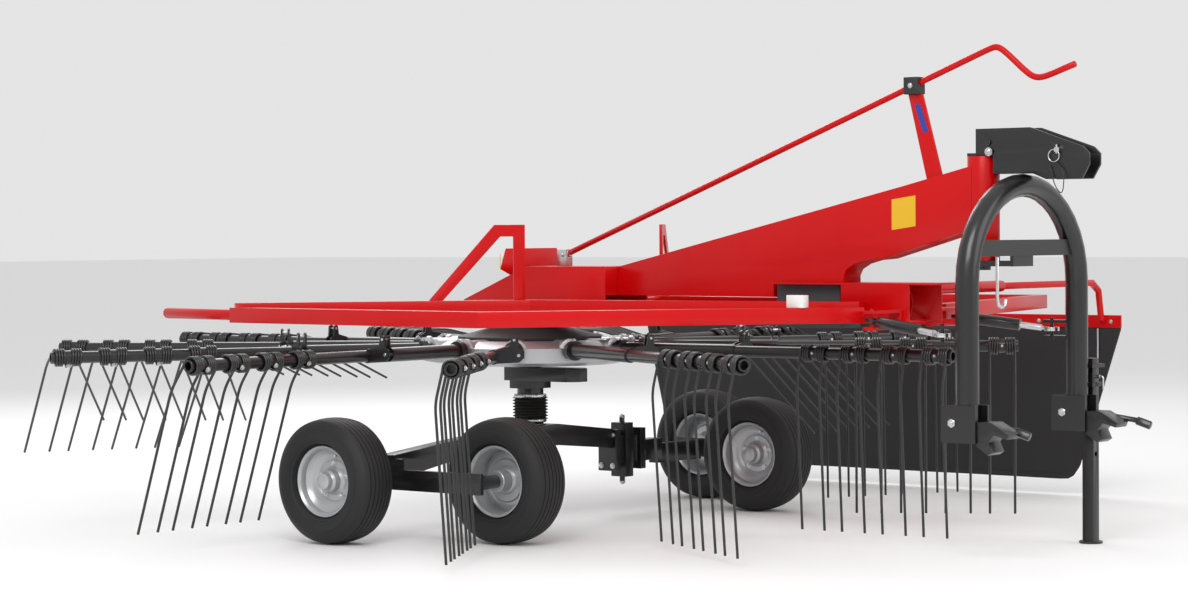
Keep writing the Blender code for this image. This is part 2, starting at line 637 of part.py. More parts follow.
def build_drive(red, iron, steel):
    """Deck with cheeks under the arch, the drive housing, and the guarded input shaft."""
    deck = box(DECK_X, (-DECK_HALF, DECK_HALF), DECK_Z)
    cheeks = [box(CHEEK_X, (side * DECK_HALF - (SHEET if side > 0 else 0),
                            side * DECK_HALF + (SHEET if side < 0 else 0)), (0.722, 0.845))
              for side in (-1, 1)]
    bridge = box((1.590, 1.602), (-DECK_HALF + 0.003, DECK_HALF - 0.003), (0.722, 0.730))
    brackets = []
    for side in (-1, 1):
        y = side * abs(STRUT_REAR[1])
        near, far = sorted((side * (DECK_HALF - 0.004), y + side * 0.022))
        for z in (STRUT_REAR[2] - 0.031, STRUT_REAR[2] + 0.021):
            brackets.append(box((STRUT_REAR[0] - 0.020, STRUT_REAR[0] + 0.022), (near, far), (z, z + 0.010)))
        near, far = sorted((side * (DECK_HALF - 0.004), side * (DECK_HALF + 0.022)))
        brackets.append(box((STRUT_REAR[0] - 0.020, STRUT_REAR[0] + 0.022), (near, far), (0.705, 0.763)))
        brackets.append(cylinder((STRUT_REAR[0], y, STRUT_REAR[2] - 0.036),
                                 (STRUT_REAR[0], y, STRUT_REAR[2] + 0.036), EYE_PIN, 10))
    keep(combine([deck, *cheeks, bridge, *brackets]), "front_frame", red)

    housing = box(HOUSING_X, (-HOUSING_HALF, HOUSING_HALF), (HOUSING_BOTTOM, DECK_Z[0] - GAP))
    tunnel = cylinder((0.1803, 0, 0.752), (HOUSING_X[0] + 0.02, 0, 0.752), 0.026, 12)
    boss = cylinder((HOUSING_X[1] - 0.01, 0, PTO_Z), (HOUSING_X[1] + 0.030, 0, PTO_Z), 0.034, 16)
    keep(combine([housing, tunnel, boss]), "drive_housing", iron)

    inner = PTO_GUARD_RADIUS - PTO_GUARD_WALL
    start = HOUSING_X[1] + GAP
    guard = turned([(PTO_GUARD_RADIUS, PTO_GUARD_END), (PTO_GUARD_RADIUS, start), (inner, start),
                    (inner, PTO_GUARD_END)], 24)
    guard.data.transform(Matrix.Translation((0, 0, PTO_Z)) @ Matrix.Rotation(math.pi / 2, 4, "Y"))
    keep(guard, "pto_guard", red)
    stub = cylinder((HOUSING_X[1] + 0.030 + GAP, 0, PTO_Z), (PTO_END, 0, PTO_Z), PTO_RADIUS, 16)
    keep(stub, "pto_stub", steel, PTO)


# ---- Guard rails, hoops and small fittings -----------------------------------------------------
def at_height(points, z):
    """Plan points lifted to a height."""
    return [(x, y, z) for x, y in points]


def rail_stubs(side):
    """Short bars that join the inner rail to the gearbox frame and to the front frame."""
    corner = (INNER_CORNER[0], side * abs(INNER_CORNER[1]), INNER_RAIL_Z)
    front_y = side * abs(INNER_FRONT[1])
    return [square_tube([corner, (INNER_CORNER[0], side * (DOME_HALF + GAP), INNER_RAIL_Z)], RAIL - 0.010),
            square_tube([(1.480, front_y, INNER_RAIL_Z), (1.480, side * (DECK_HALF + GAP), INNER_RAIL_Z)],
                        RAIL - 0.012)]


def build_guards(red, white):
    """Guard rails: outer tube with a thin tip, inner tube, and their joints to the frame."""
    outer = square_tube(at_height((RIGHT_JOINT, RIGHT_CORNER, RIGHT_FRONT), RAIL_Z), RAIL)
    tip = cylinder((*RIGHT_TIP, RAIL_Z), (*RIGHT_JOINT, RAIL_Z), TIP_RADIUS, 10)
    inner = square_tube(at_height((RIGHT_JOINT, INNER_CORNER, INNER_FRONT), INNER_RAIL_Z), RAIL)
    keep(combine([outer, tip, inner, *rail_stubs(-1)]), "guard_right", red)

    mirrored = [(x, -y) for x, y in (RIGHT_JOINT, INNER_CORNER, INNER_FRONT)]
    outer = square_tube(at_height((LEFT_JOINT, LEFT_CORNER, LEFT_FRONT), RAIL_Z), RAIL)
    tip = cylinder((*LEFT_TIP, RAIL_Z), (*LEFT_JOINT, RAIL_Z), TIP_RADIUS, 10)
    inner = square_tube(at_height((LEFT_JOINT, *mirrored[1:]), INNER_RAIL_Z), RAIL)
    keep(combine([outer, tip, inner, *rail_stubs(1)]), "guard_left", red)

    along = 0.827
    x = RIGHT_CORNER[0] + (RIGHT_FRONT[0] - RIGHT_CORNER[0]) * along
    y = RIGHT_CORNER[1] + (RIGHT_FRONT[1] - RIGHT_CORNER[1]) * along
    seat = RAIL_Z + RAIL / 2 + GAP
    keep(box((x - 0.032, x + 0.032), (y - 0.016, y + 0.016), (seat, seat + 0.040)), "reflector", white)


def build_hoops(red):
    """Flat-bar hoops over the inner rails."""
    for name, side in (("right", -1), ("left", 1)):
        joint = RIGHT_JOINT if side < 0 else LEFT_JOINT
        start = Vector((INNER_CORNER[0], side * abs(INNER_CORNER[1])))
        along = (Vector(joint) - start).normalized()
        seat = INNER_RAIL_Z + RAIL / 2 + GAP
        half = HOOP_THICK / 2
        outline = [(0.020, seat), (0.020, HOOP_TOP), (0.125, HOOP_TOP), (0.350, seat),
                   (0.350 - HOOP_WIDTH * 1.2, seat), (0.105, HOOP_TOP - HOOP_WIDTH),
                   (0.020 + HOOP_WIDTH, HOOP_TOP - HOOP_WIDTH), (0.020 + HOOP_WIDTH, seat)]
        hoop = slab("XZ", outline, -half, half)
        angle = math.atan2(along.y, along.x)
        hoop.data.transform(Matrix.Translation((*start, 0.0)) @ Matrix.Rotation(angle, 4, "Z"))
        keep(hoop, f"hoop_{name}", red)


def slope_height(x):
    """Height of the gearbox frame's rear slope at x."""
    return DOME_EDGE + (x - DOME_REAR_X) / (DOME_BREAK_X - DOME_REAR_X) * (DOME_TOP - DOME_EDGE)


def build_fittings(red, steel, dark):
    """Sign plate on the rear slope, and the height crank with its joint, post and guide."""
    x = 0.010
    foot = slope_height(x + 0.002) + GAP
    outline = [(-DOME_HALF, foot), (DOME_HALF, foot), (0.170, foot + 0.020), (0.140, 0.963),
               (-0.140, 0.963), (-0.170, foot + 0.020)]
    keep(slab("YZ", outline, x - 0.002, x + 0.002), "sign_plate", red)

    start_x, start_z = CRANK_PATH[0]
    block = box((start_x - 0.045, start_x - 0.004), (-0.018, 0.018), (DOME_TOP + GAP, start_z + 0.012))
    first = Vector((start_x, 0, start_z))
    rise = (Vector((CRANK_PATH[1][0], 0, CRANK_PATH[1][1])) - first).normalized()
    clamp = cylinder(first - rise * 0.030, first - rise * GAP, 0.014, 10)
    keep(combine([block, clamp]), "crank_joint", steel)
    crank = tube([(x, 0.0, z) for x, z in CRANK_PATH], CRANK_RADIUS, 1)
    keep(crank, "height_crank", red)

    top = beam_top(POST_FOOT_X) + GAP
    lean = Vector((POST_TOP[0] - POST_FOOT_X, POST_TOP[1] - top)).normalized()
    wide = Vector((0.026, 0.0))
    foot_left = (POST_FOOT_X - 0.030, beam_top(POST_FOOT_X - 0.030) + GAP)
    foot_right = (POST_FOOT_X + 0.026, beam_top(POST_FOOT_X + 0.026) + GAP)
    reach = POST_TOP[1] - 0.024
    lift = (reach - top) / lean.y
    head = Vector((POST_FOOT_X, top)) + lean * lift
    post = slab("XZ", [foot_left, foot_right, tuple(head + wide), tuple(head - wide)], -0.005, 0.005)
    keep(post, "crank_post", red)
    rise = crank_height(POST_TOP[0])
    guide = box((POST_TOP[0] - 0.026, POST_TOP[0] + 0.026), (-0.024, 0.024), (reach + GAP, rise + 0.026))
    slope = Vector((CRANK_PATH[2][0] - CRANK_PATH[1][0], 0, CRANK_PATH[2][1] - CRANK_PATH[1][1])).normalized()
    middle = Vector((POST_TOP[0], 0, rise))
    hole = cylinder(middle - slope * 0.06, middle + slope * 0.06, round_bore(CRANK_RADIUS, 12), 12)
    keep(combine([guide], [hole]), "crank_guide", dark)


def beam_top(x):
    """Height of the drawbar's top edge at x."""
    if x < BEAM_KNEE_X:
        share = (x - DOME_FRONT_X) / (BEAM_KNEE_X - DOME_FRONT_X)
        return BEAM_TOP_Z[0] + share * (BEAM_TOP_Z[1] - BEAM_TOP_Z[0])
    share = (x - BEAM_KNEE_X) / (BEAM_END_X - BEAM_KNEE_X)
    return BEAM_TOP_Z[1] + share * (BEAM_TOP_Z[2] - BEAM_TOP_Z[1])


def crank_height(x):
    """Height of the crank's middle line at x."""
    for (x0, z0), (x1, z1) in zip(CRANK_PATH, CRANK_PATH[1:]):
        if x0 <= x <= x1:
            return z0 + (x - x0) / (x1 - x0) * (z1 - z0)
    return CRANK_PATH[-1][1]


def build_curtain(cloth, red):
    """Cloth curtain, its rail with two sliding carriers, and the sockets that hold them."""
    half = CURTAIN_THICK / 2
    outline = [(CURTAIN_REAR, RAIL_BOTTOM - GAP), (CURTAIN_FRONT, RAIL_BOTTOM - GAP), (1.144, 0.116),
               *arc((1.066, 0.138), 0.078, -16, -90, 3)[1:-1], (1.066, CURTAIN_BOTTOM),
               (-0.800, CURTAIN_BOTTOM), (-0.860, 0.270), (-0.910, 0.470)]
    keep(slab("XZ", outline, CURTAIN_Y - half, CURTAIN_Y + half), "curtain", cloth, CURTAIN)
    pieces = [box((CURTAIN_REAR, CURTAIN_FRONT), (CURTAIN_Y - 0.004, CURTAIN_Y + 0.004), (RAIL_BOTTOM, RAIL_TOP))]
    for x in CARRIER_X:
        elbow = CURTAIN_Y - 0.045
        pieces.append(tube([(x, 0.900, CARRIER_Z), (x, elbow - 0.050, CARRIER_Z),
                            (x, elbow, CARRIER_Z - 0.030), (x, elbow + 0.020, RAIL_TOP - 0.010),
                            (x, CURTAIN_Y, RAIL_TOP - 0.022)], CARRIER_RADIUS, 1))
    keep(combine(pieces), "curtain_rail", red, CURTAIN)

    bore = round_bore(CARRIER_RADIUS, 12)
    for name, x, start in (("rear", CARRIER_X[0], DOME_HALF + GAP), ("front", CARRIER_X[1], HOUSING_HALF + GAP)):
        socket = cylinder((x, start, CARRIER_Z), (x, SOCKET_END, CARRIER_Z), SOCKET_RADIUS, 12)
        hole = cylinder((x, 0.600, CARRIER_Z), (x, SOCKET_END + 0.02, CARRIER_Z), bore, 12)
        keep(combine([socket], [hole]), f"carrier_socket_{name}", red)


# ---- Headstock, swivel struts and parking stand -------------------------------------------------
def build_headstock(black):
    """Arch with its legs, cross member, foot plates and the pin on which it swivels."""
    arch = [(HEAD_X, -HEAD_HALF, HEAD_FOOT)]
    steps = 18
    for i in range(steps + 1):
        turn = math.pi * i / steps
        arch.append((HEAD_X, -HEAD_HALF * math.cos(turn),
                     HEAD_SPRING + (HEAD_APEX - HEAD_SPRING) * math.sin(turn)))
    arch.append((HEAD_X, HEAD_HALF, HEAD_FOOT))
    pieces = [tube(arch, HEAD_TUBE, 4)]
    pieces.append(box((HEAD_X - 0.010, HEAD_X + 0.010), (-0.305, 0.305), CROSS_Z))
    pieces.append(cylinder((PIVOT_X, 0, PIVOT_BOTTOM - 0.030), (PIVOT_X, 0, PIVOT_TOP), PIVOT_PIN, 16))
    pieces.append(box((PIVOT_X - 0.040, HEAD_X), (-0.035, 0.035), (PIVOT_BOTTOM - 0.018, PIVOT_BOTTOM - GAP)))
    pieces.append(box((HEAD_X - 0.012, HEAD_X), (-0.060, 0.060), (PIVOT_BOTTOM - 0.018, CROSS_Z[1])))
    for side in (-1, 1):
        for y in (side * HEAD_HALF - HEAD_TUBE, side * HEAD_HALF + HEAD_TUBE):
            pieces.append(box(FOOT_X, (y - FOOT_PLATE / 2, y + FOOT_PLATE / 2), FOOT_Z))
        low, high = side * HEAD_HALF - 0.047, side * HEAD_HALF + 0.047
        pieces.append(cylinder((LINK_PIN[0], low, LINK_PIN[1]), (LINK_PIN[0], high, LINK_PIN[1]),
                               LINK_PIN_RADIUS, 12))
        pieces.extend(clevis(STRUT_EYE[0], side * abs(STRUT_EYE[1]), STRUT_EYE[2], HEAD_X))
    strap_y = HEAD_HALF + HEAD_TUBE - 0.006
    for z in (0.510, 0.570):
        pieces.append(box((STAND_X - 0.034, STAND_X + 0.034), (strap_y, STAND_Y + 0.034), (z, z + 0.012)))
    hole = box((STAND_X - STAND_SIDE / 2 - 0.001, STAND_X + STAND_SIDE / 2 + 0.001),
               (STAND_Y - STAND_SIDE / 2 - 0.001, STAND_Y + STAND_SIDE / 2 + 0.001), (0.490, 0.600))
    keep(combine(pieces, [hole]), "headstock", black, SWIVEL)


def clevis(x, y, z, root_x):
    """Two level plates with a pin, reaching back from a leg."""
    half = CLEVIS_GAP / 2
    plates = [box((x - 0.022, root_x - 0.010), (y - 0.022, y + 0.022), sorted((z + edge, z + edge + thick)))
              for edge, thick in ((half, 0.010), (-half, -0.010))]
    pin = cylinder((x, y, z - half - 0.016), (x, y, z + half + 0.016), EYE_PIN, 10)
    return [*plates, pin]


def build_top_link(black):
    """Top-link bracket: two plates with pin holes, on the pivot tube and on the arch."""
    seat = PIVOT_TOP + GAP
    crown = HEAD_APEX + HEAD_TUBE + GAP
    outline = [(1.871, 1.334), (2.067, 1.334), (2.253, 1.271), (2.275, 1.250), (2.275, 1.215),
               (2.249, 1.172), (2.123, 1.172), (2.075, crown), (1.940, crown), (1.940, seat),
               (1.871, seat)]
    plates = [slab("XZ", outline, side * TOP_PLATE_Y - TOP_PLATE / 2, side * TOP_PLATE_Y + TOP_PLATE / 2)
              for side in (-1, 1)]
    pieces = [*plates, box((PIVOT_X - 0.040, 1.941), (-TOP_PLATE_Y, TOP_PLATE_Y), (seat, seat + 0.010)),
              box((1.940, 2.075), (-TOP_PLATE_Y, TOP_PLATE_Y), (crown, crown + 0.010)),
              box((1.932, 1.941), (-TOP_PLATE_Y, TOP_PLATE_Y), (crown, seat + 0.010)),
              cylinder((1.921, -TOP_PLATE_Y - 0.014, 1.290), (1.921, TOP_PLATE_Y + 0.014, 1.290), 0.010, 8)]
    hole = cylinder((TOP_HOLE[0], -0.06, TOP_HOLE[1]), (TOP_HOLE[0], 0.06, TOP_HOLE[1]),
                    TOP_HOLE_RADIUS, 12)
    keep(combine(pieces, [hole]), "top_link_bracket", black, SWIVEL)


def build_catches(black):
    """Hooked lower catches with their levers, in front of the foot plates."""
    front = FOOT_X[1] + GAP
    outline = [(front, 0.436), (front + 0.050, 0.436), (front + 0.113, 0.402), (front + 0.106, 0.386),
               (front + 0.060, 0.398), (front + 0.042, 0.376), (front + 0.056, 0.346),
               (front + 0.040, 0.336), (front, 0.362)]
    for name, side, reach in (("right", -1, 0.060), ("left", 1, 0.110)):
        y = side * HEAD_HALF
        hook = slab("XZ", outline, y - HEAD_TUBE, y + HEAD_TUBE)
        lever = cylinder((front + 0.020, y + 0.020, 0.425), (front + 0.030 + reach, y + 0.055, 0.405), 0.009, 8)
        grip = cylinder((front + 0.025 + reach, y + 0.053, 0.405), (front + 0.070 + reach, y + 0.060, 0.390),
                        0.014, 8)
        keep(combine([hook, lever, grip]), f"lower_catch_{name}", black, SWIVEL)


def build_struts(black, steel):
    """Telescopic swivel struts: tube on the front frame, rod with its eye at the leg."""
    for name, side in (("right", -1), ("left", 1)):
        rear = Vector((STRUT_REAR[0], side * abs(STRUT_REAR[1]), STRUT_REAR[2]))
        eye = Vector((STRUT_EYE[0], side * abs(STRUT_EYE[1]), STRUT_EYE[2]))
        along = (eye - rear).normalized()
        half = EYE_THICK / 2
        knuckle = cylinder(rear - Vector((0, 0, half)), rear + Vector((0, 0, half)), EYE_RADIUS - 0.006, 14)
        neck = cylinder(rear + along * 0.008, rear + along * 0.046, 0.009, 10)
        barrel = cylinder(rear + along * 0.040, rear + along * STRUT_TUBE_LENGTH, STRUT_TUBE, 14)
        bore = cylinder(rear + along * 0.050, rear + along * (STRUT_TUBE_LENGTH + 0.02),
                        round_bore(STRUT_ROD, 12), 12)
        hole = cylinder(rear - Vector((0, 0, 0.02)), rear + Vector((0, 0, 0.02)), round_bore(EYE_PIN, 12), 12)
        keep(combine([knuckle, neck, barrel], [bore, hole]), f"strut_tube_{name}", black, STRUTS[side])

        start = rear + along * 0.122
        rod = cylinder(start, eye - along * (EYE_RADIUS + 0.010), STRUT_ROD, 12)
        shank = cylinder(eye - along * (EYE_RADIUS + 0.014), eye - along * (EYE_RADIUS - 0.006), half, 12)
        ring = cylinder(eye - Vector((0, 0, half)), eye + Vector((0, 0, half)), EYE_RADIUS, 14)
        hole = cylinder(eye - Vector((0, 0, 0.02)), eye + Vector((0, 0, 0.02)), EYE_HOLE, 14)
        keep(combine([rod, shank, ring], [hole]), f"strut_rod_{name}", steel, STRUTS[side])


def build_stand(black, steel):
    """Parking stand beside the left leg, and the latch rod under the cross member."""
    half = STAND_SIDE / 2
    leg = box((STAND_X - half, STAND_X + half), (STAND_Y - half, STAND_Y + half), (0.004, STAND_TOP))
    foot = cylinder((STAND_X, STAND_Y, 0.0), (STAND_X, STAND_Y, 0.008), STAND_FOOT, 20)
    hole = cylinder((STAND_X - 0.05, STAND_Y, 0.290), (STAND_X + 0.05, STAND_Y, 0.290), 0.008, 10)
    keep(combine([leg, foot], [hole]), "parking_stand", black, STAND)

    top = CROSS_Z[0] - GAP
    x, y = HEAD_X - 0.004, -0.150
    hook = tube([(x, y, top), (x, y, 0.800), (x, y + 0.008, 0.783), (x, y + 0.026, 0.776),
                 (x, y + 0.044, 0.783), (x, y + 0.050, 0.800)], 0.006, 1)
    keep(hook, "latch_hook", steel, SWIVEL)


# ---- The whole machine -------------------------------------------------------------------------
def build_rake():
    """Every sub-part, with the paint that it wears."""
    red = paint("red_paint", (0.62, 0.010, 0.018), 0.32, 0.0)
    black = paint("black_paint", (0.012, 0.012, 0.014), 0.38, 0.0)
    dark = paint("dark_plastic", (0.020, 0.020, 0.022), 0.60, 0.0)
    silver = paint("silver_paint", (0.55, 0.56, 0.58), 0.38, 0.85)
    steel = paint("zinc_steel", (0.62, 0.63, 0.65), 0.30, 1.0)
    iron = paint("grey_iron", (0.16, 0.16, 0.17), 0.55, 0.6)
    rubber = paint("tyre_rubber", (0.018, 0.018, 0.019), 0.82, 0.0)
    cloth = paint("curtain_cloth", (0.022, 0.022, 0.024), 0.85, 0.0)
    white = paint("reflector_white", (0.80, 0.80, 0.78), 0.30, 0.0)

    build_wheels(rubber, silver)
    build_rockers(black)
    build_axle(black)
    build_column(black)
    build_hub(silver, dark)
    build_arms(black)
    build_gearbox(iron, red)
    build_beam(red)
    build_drive(red, iron, steel)
    build_guards(red, white)
    build_hoops(red)
    build_fittings(red, steel, dark)
    build_curtain(cloth, red)
    build_headstock(black)
    build_top_link(black)
    build_catches(black)
    build_struts(black, steel)
    build_stand(black, steel)


clear_scene()
PARTS = new_collection("rotary_hay_rake")
WORK = new_collection("loose_pieces")
ROOT = new_empty("rake_origin", (ORIGIN_X, ORIGIN_Y, 0.0))
ROTOR = new_empty("rotor_axis", (0.0, 0.0, ARM_Z), ROOT)
SWIVEL = new_empty("swivel_axis", (PIVOT_X, 0.0, PIVOT_TOP), ROOT)
PTO = new_empty("pto_axis", (PTO_END, 0.0, PTO_Z), ROOT)
STAND = new_empty("stand_axis", (STAND_X, STAND_Y, 0.0), ROOT)
CURTAIN = new_empty("curtain_axis", (CARRIER_X[1], 0.0, CARRIER_Z), ROOT)
STRUTS = {side: new_empty(f"strut_axis_{name}", (STRUT_REAR[0], side * abs(STRUT_REAR[1]), STRUT_REAR[2]), ROOT)
          for name, side in (("right", -1), ("left", 1))}
build_rake()
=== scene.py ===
"""Looks of a three-point mounted rotary hay rake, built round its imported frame.

Each sub-assembly is a class: its sizes are fields, its methods compute the surfaces with numpy and
dress them in finishes. Everything is in metres in the frame's own axes: +X to the tractor, +Y to
the machine's left and +Z up.
"""
from __future__ import annotations

import json
import logging
import math
from dataclasses import dataclass, field
from enum import Enum
from typing import Iterable, Sequence

import bmesh
import bpy
import numpy as np
from mathutils import Matrix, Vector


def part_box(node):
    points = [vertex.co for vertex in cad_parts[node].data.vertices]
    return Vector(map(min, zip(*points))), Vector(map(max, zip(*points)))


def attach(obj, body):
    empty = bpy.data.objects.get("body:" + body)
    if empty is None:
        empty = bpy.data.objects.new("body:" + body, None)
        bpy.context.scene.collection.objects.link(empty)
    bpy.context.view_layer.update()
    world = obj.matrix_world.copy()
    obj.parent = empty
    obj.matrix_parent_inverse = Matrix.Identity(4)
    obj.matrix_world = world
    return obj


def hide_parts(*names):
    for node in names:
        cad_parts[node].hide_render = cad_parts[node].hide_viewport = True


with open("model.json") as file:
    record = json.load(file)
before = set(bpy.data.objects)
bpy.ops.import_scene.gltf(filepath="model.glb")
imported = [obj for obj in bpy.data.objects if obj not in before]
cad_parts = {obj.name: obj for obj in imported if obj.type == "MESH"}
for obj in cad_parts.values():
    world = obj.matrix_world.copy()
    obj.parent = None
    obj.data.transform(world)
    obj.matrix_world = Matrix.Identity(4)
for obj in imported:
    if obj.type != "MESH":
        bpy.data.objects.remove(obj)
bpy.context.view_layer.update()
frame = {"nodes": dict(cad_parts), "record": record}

LOG = logging.getLogger("hay_rake")
Array = np.ndarray
SMOOTH_ANGLE = math.radians(38)


# ---- Places read from the frame ----------------------------------------------------------------
def corners(node: str) -> tuple[Array, Array]:
    """Lowest and highest corner of a frame node as arrays."""
    low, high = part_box(node)
    return np.array(low, float), np.array(high, float)


def middle(node: str) -> Array:
    """Middle of a frame node's box."""
    low, high = corners(node)
    return (low + high) / 2


def joint_place(name: str) -> Array:
    """Position of a joint's axis.

    Args:
        name: the joint's name in the record.

    Returns:
        The point on the axis, in metres.
    """
    found = [joint for joint in frame["record"]["behaviour"]["joints"] if joint["name"] == name]
    return np.array(found[0]["pos_m"], float)


ROTOR = joint_place("rotor_spin")
AXIS_X, AXIS_Y = ROTOR[0], ROTOR[1]


# ---- Surfaces ----------------------------------------------------------------------------------
def unit(vectors: Array) -> Array:
    """Vectors scaled to length one along the last axis."""
    return vectors / np.linalg.norm(vectors, axis=-1, keepdims=True)


def circle(radius: float, sides: int, start: float = 0.0) -> Array:
    """Points (cos, sin) round a circle, counted from the start angle in radians."""
    angle = start + np.arange(sides) * 2 * math.pi / sides
    return radius * np.stack([np.cos(angle), np.sin(angle)], axis=-1)


def rounded_path(points: Sequence[Sequence[float]], radius: float, steps: int = 6) -> Array:
    """Corner points joined by straight runs, with each corner turned into a quadratic bend.

    Args:
        points: the corners of the path.
        radius: how far along each run the bend begins.
        steps: intervals in a bend.

    Returns:
        The points of the path, one row each.
    """
    path = np.array(points, float)
    rows = [path[:1]]
    share = np.linspace(0, 1, steps + 1)[:, None]
    for before, corner, after in zip(path, path[1:], path[2:]):
        lead, leave = before - corner, after - corner
        start = corner + unit(lead) * min(radius, np.linalg.norm(lead) * 0.45)
        end = corner + unit(leave) * min(radius, np.linalg.norm(leave) * 0.45)
        rows.append((1 - share) ** 2 * start + 2 * share * (1 - share) * corner + share ** 2 * end)
    rows.append(path[-1:])
    return np.concatenate(rows)


def sweep(path: Array, outline: Array, reference: Sequence[float], scale: Array | None = None) -> Array:
    """Outline carried along a path: side = tangent x reference and rise = side x tangent.

    Args:
        path: points of the path, (n, 3).
        outline: closed outline in the plane across the path, (m, 2).
        reference: a direction that the path never takes.
        scale: size of the outline at each point of the path, or None for one everywhere.

    Returns:
        A grid of points, (n, m, 3).
    """
    tangent = unit(np.gradient(path, axis=0))
    side = unit(np.cross(tangent, np.array(reference, float)))
    rise = np.cross(side, tangent)
    size = np.ones(len(path)) if scale is None else scale
    spread = outline[None, :, :] * size[:, None, None]
    return path[:, None, :] + side[:, None, :] * spread[..., :1] + rise[:, None, :] * spread[..., 1:]


def sweep_upright(path: Array, outline: Array, tangent: Array) -> Array:
    """Outline carried along a path in an XZ plane: side = Y and rise = Y x tangent.

    Args:
        path: points of the path, (n, 3).
        outline: closed outline in the plane across the path, (m, 2).
        tangent: direction of the path at each point, (n, 3).

    Returns:
        A grid of points, (n, m, 3).
    """
    side = np.tile(np.array([0.0, 1.0, 0.0]), (len(path), 1))
    rise = np.cross(side, tangent)
    return path[:, None] + side[:, None] * outline[None, :, :1] + rise[:, None] * outline[None, :, 1:]


def revolve(profile: Sequence[Sequence[float]], steps: int) -> Array:
    """Profile turned about Z: x = r cos t, y = r sin t, z = height.

    Args:
        profile: rows of (radius, height).
        steps: how many columns go round.

    Returns:
        A grid of points, (rows, steps, 3).
    """
    rows = np.array(profile, float)
    angle = np.arange(steps) * 2 * math.pi / steps
    return np.stack([rows[:, :1] * np.cos(angle), rows[:, :1] * np.sin(angle),
                     np.repeat(rows[:, 1:], steps, axis=1)], axis=-1)


def turn_to(points: Array, direction: Sequence[float]) -> Array:
    """Points about Z turned so that Z points along a direction.

    Args:
        points: the points to turn.
        direction: where Z goes.

    Returns:
        The turned points, in the same order.
    """
    axis = unit(np.array(direction, float))
    helper = np.array([1.0, 0, 0]) if abs(axis[0]) < 0.9 else np.array([0, 1.0, 0])
    first = unit(np.cross(helper, axis))
    second = np.cross(axis, first)
    return points @ np.stack([first, second, axis])


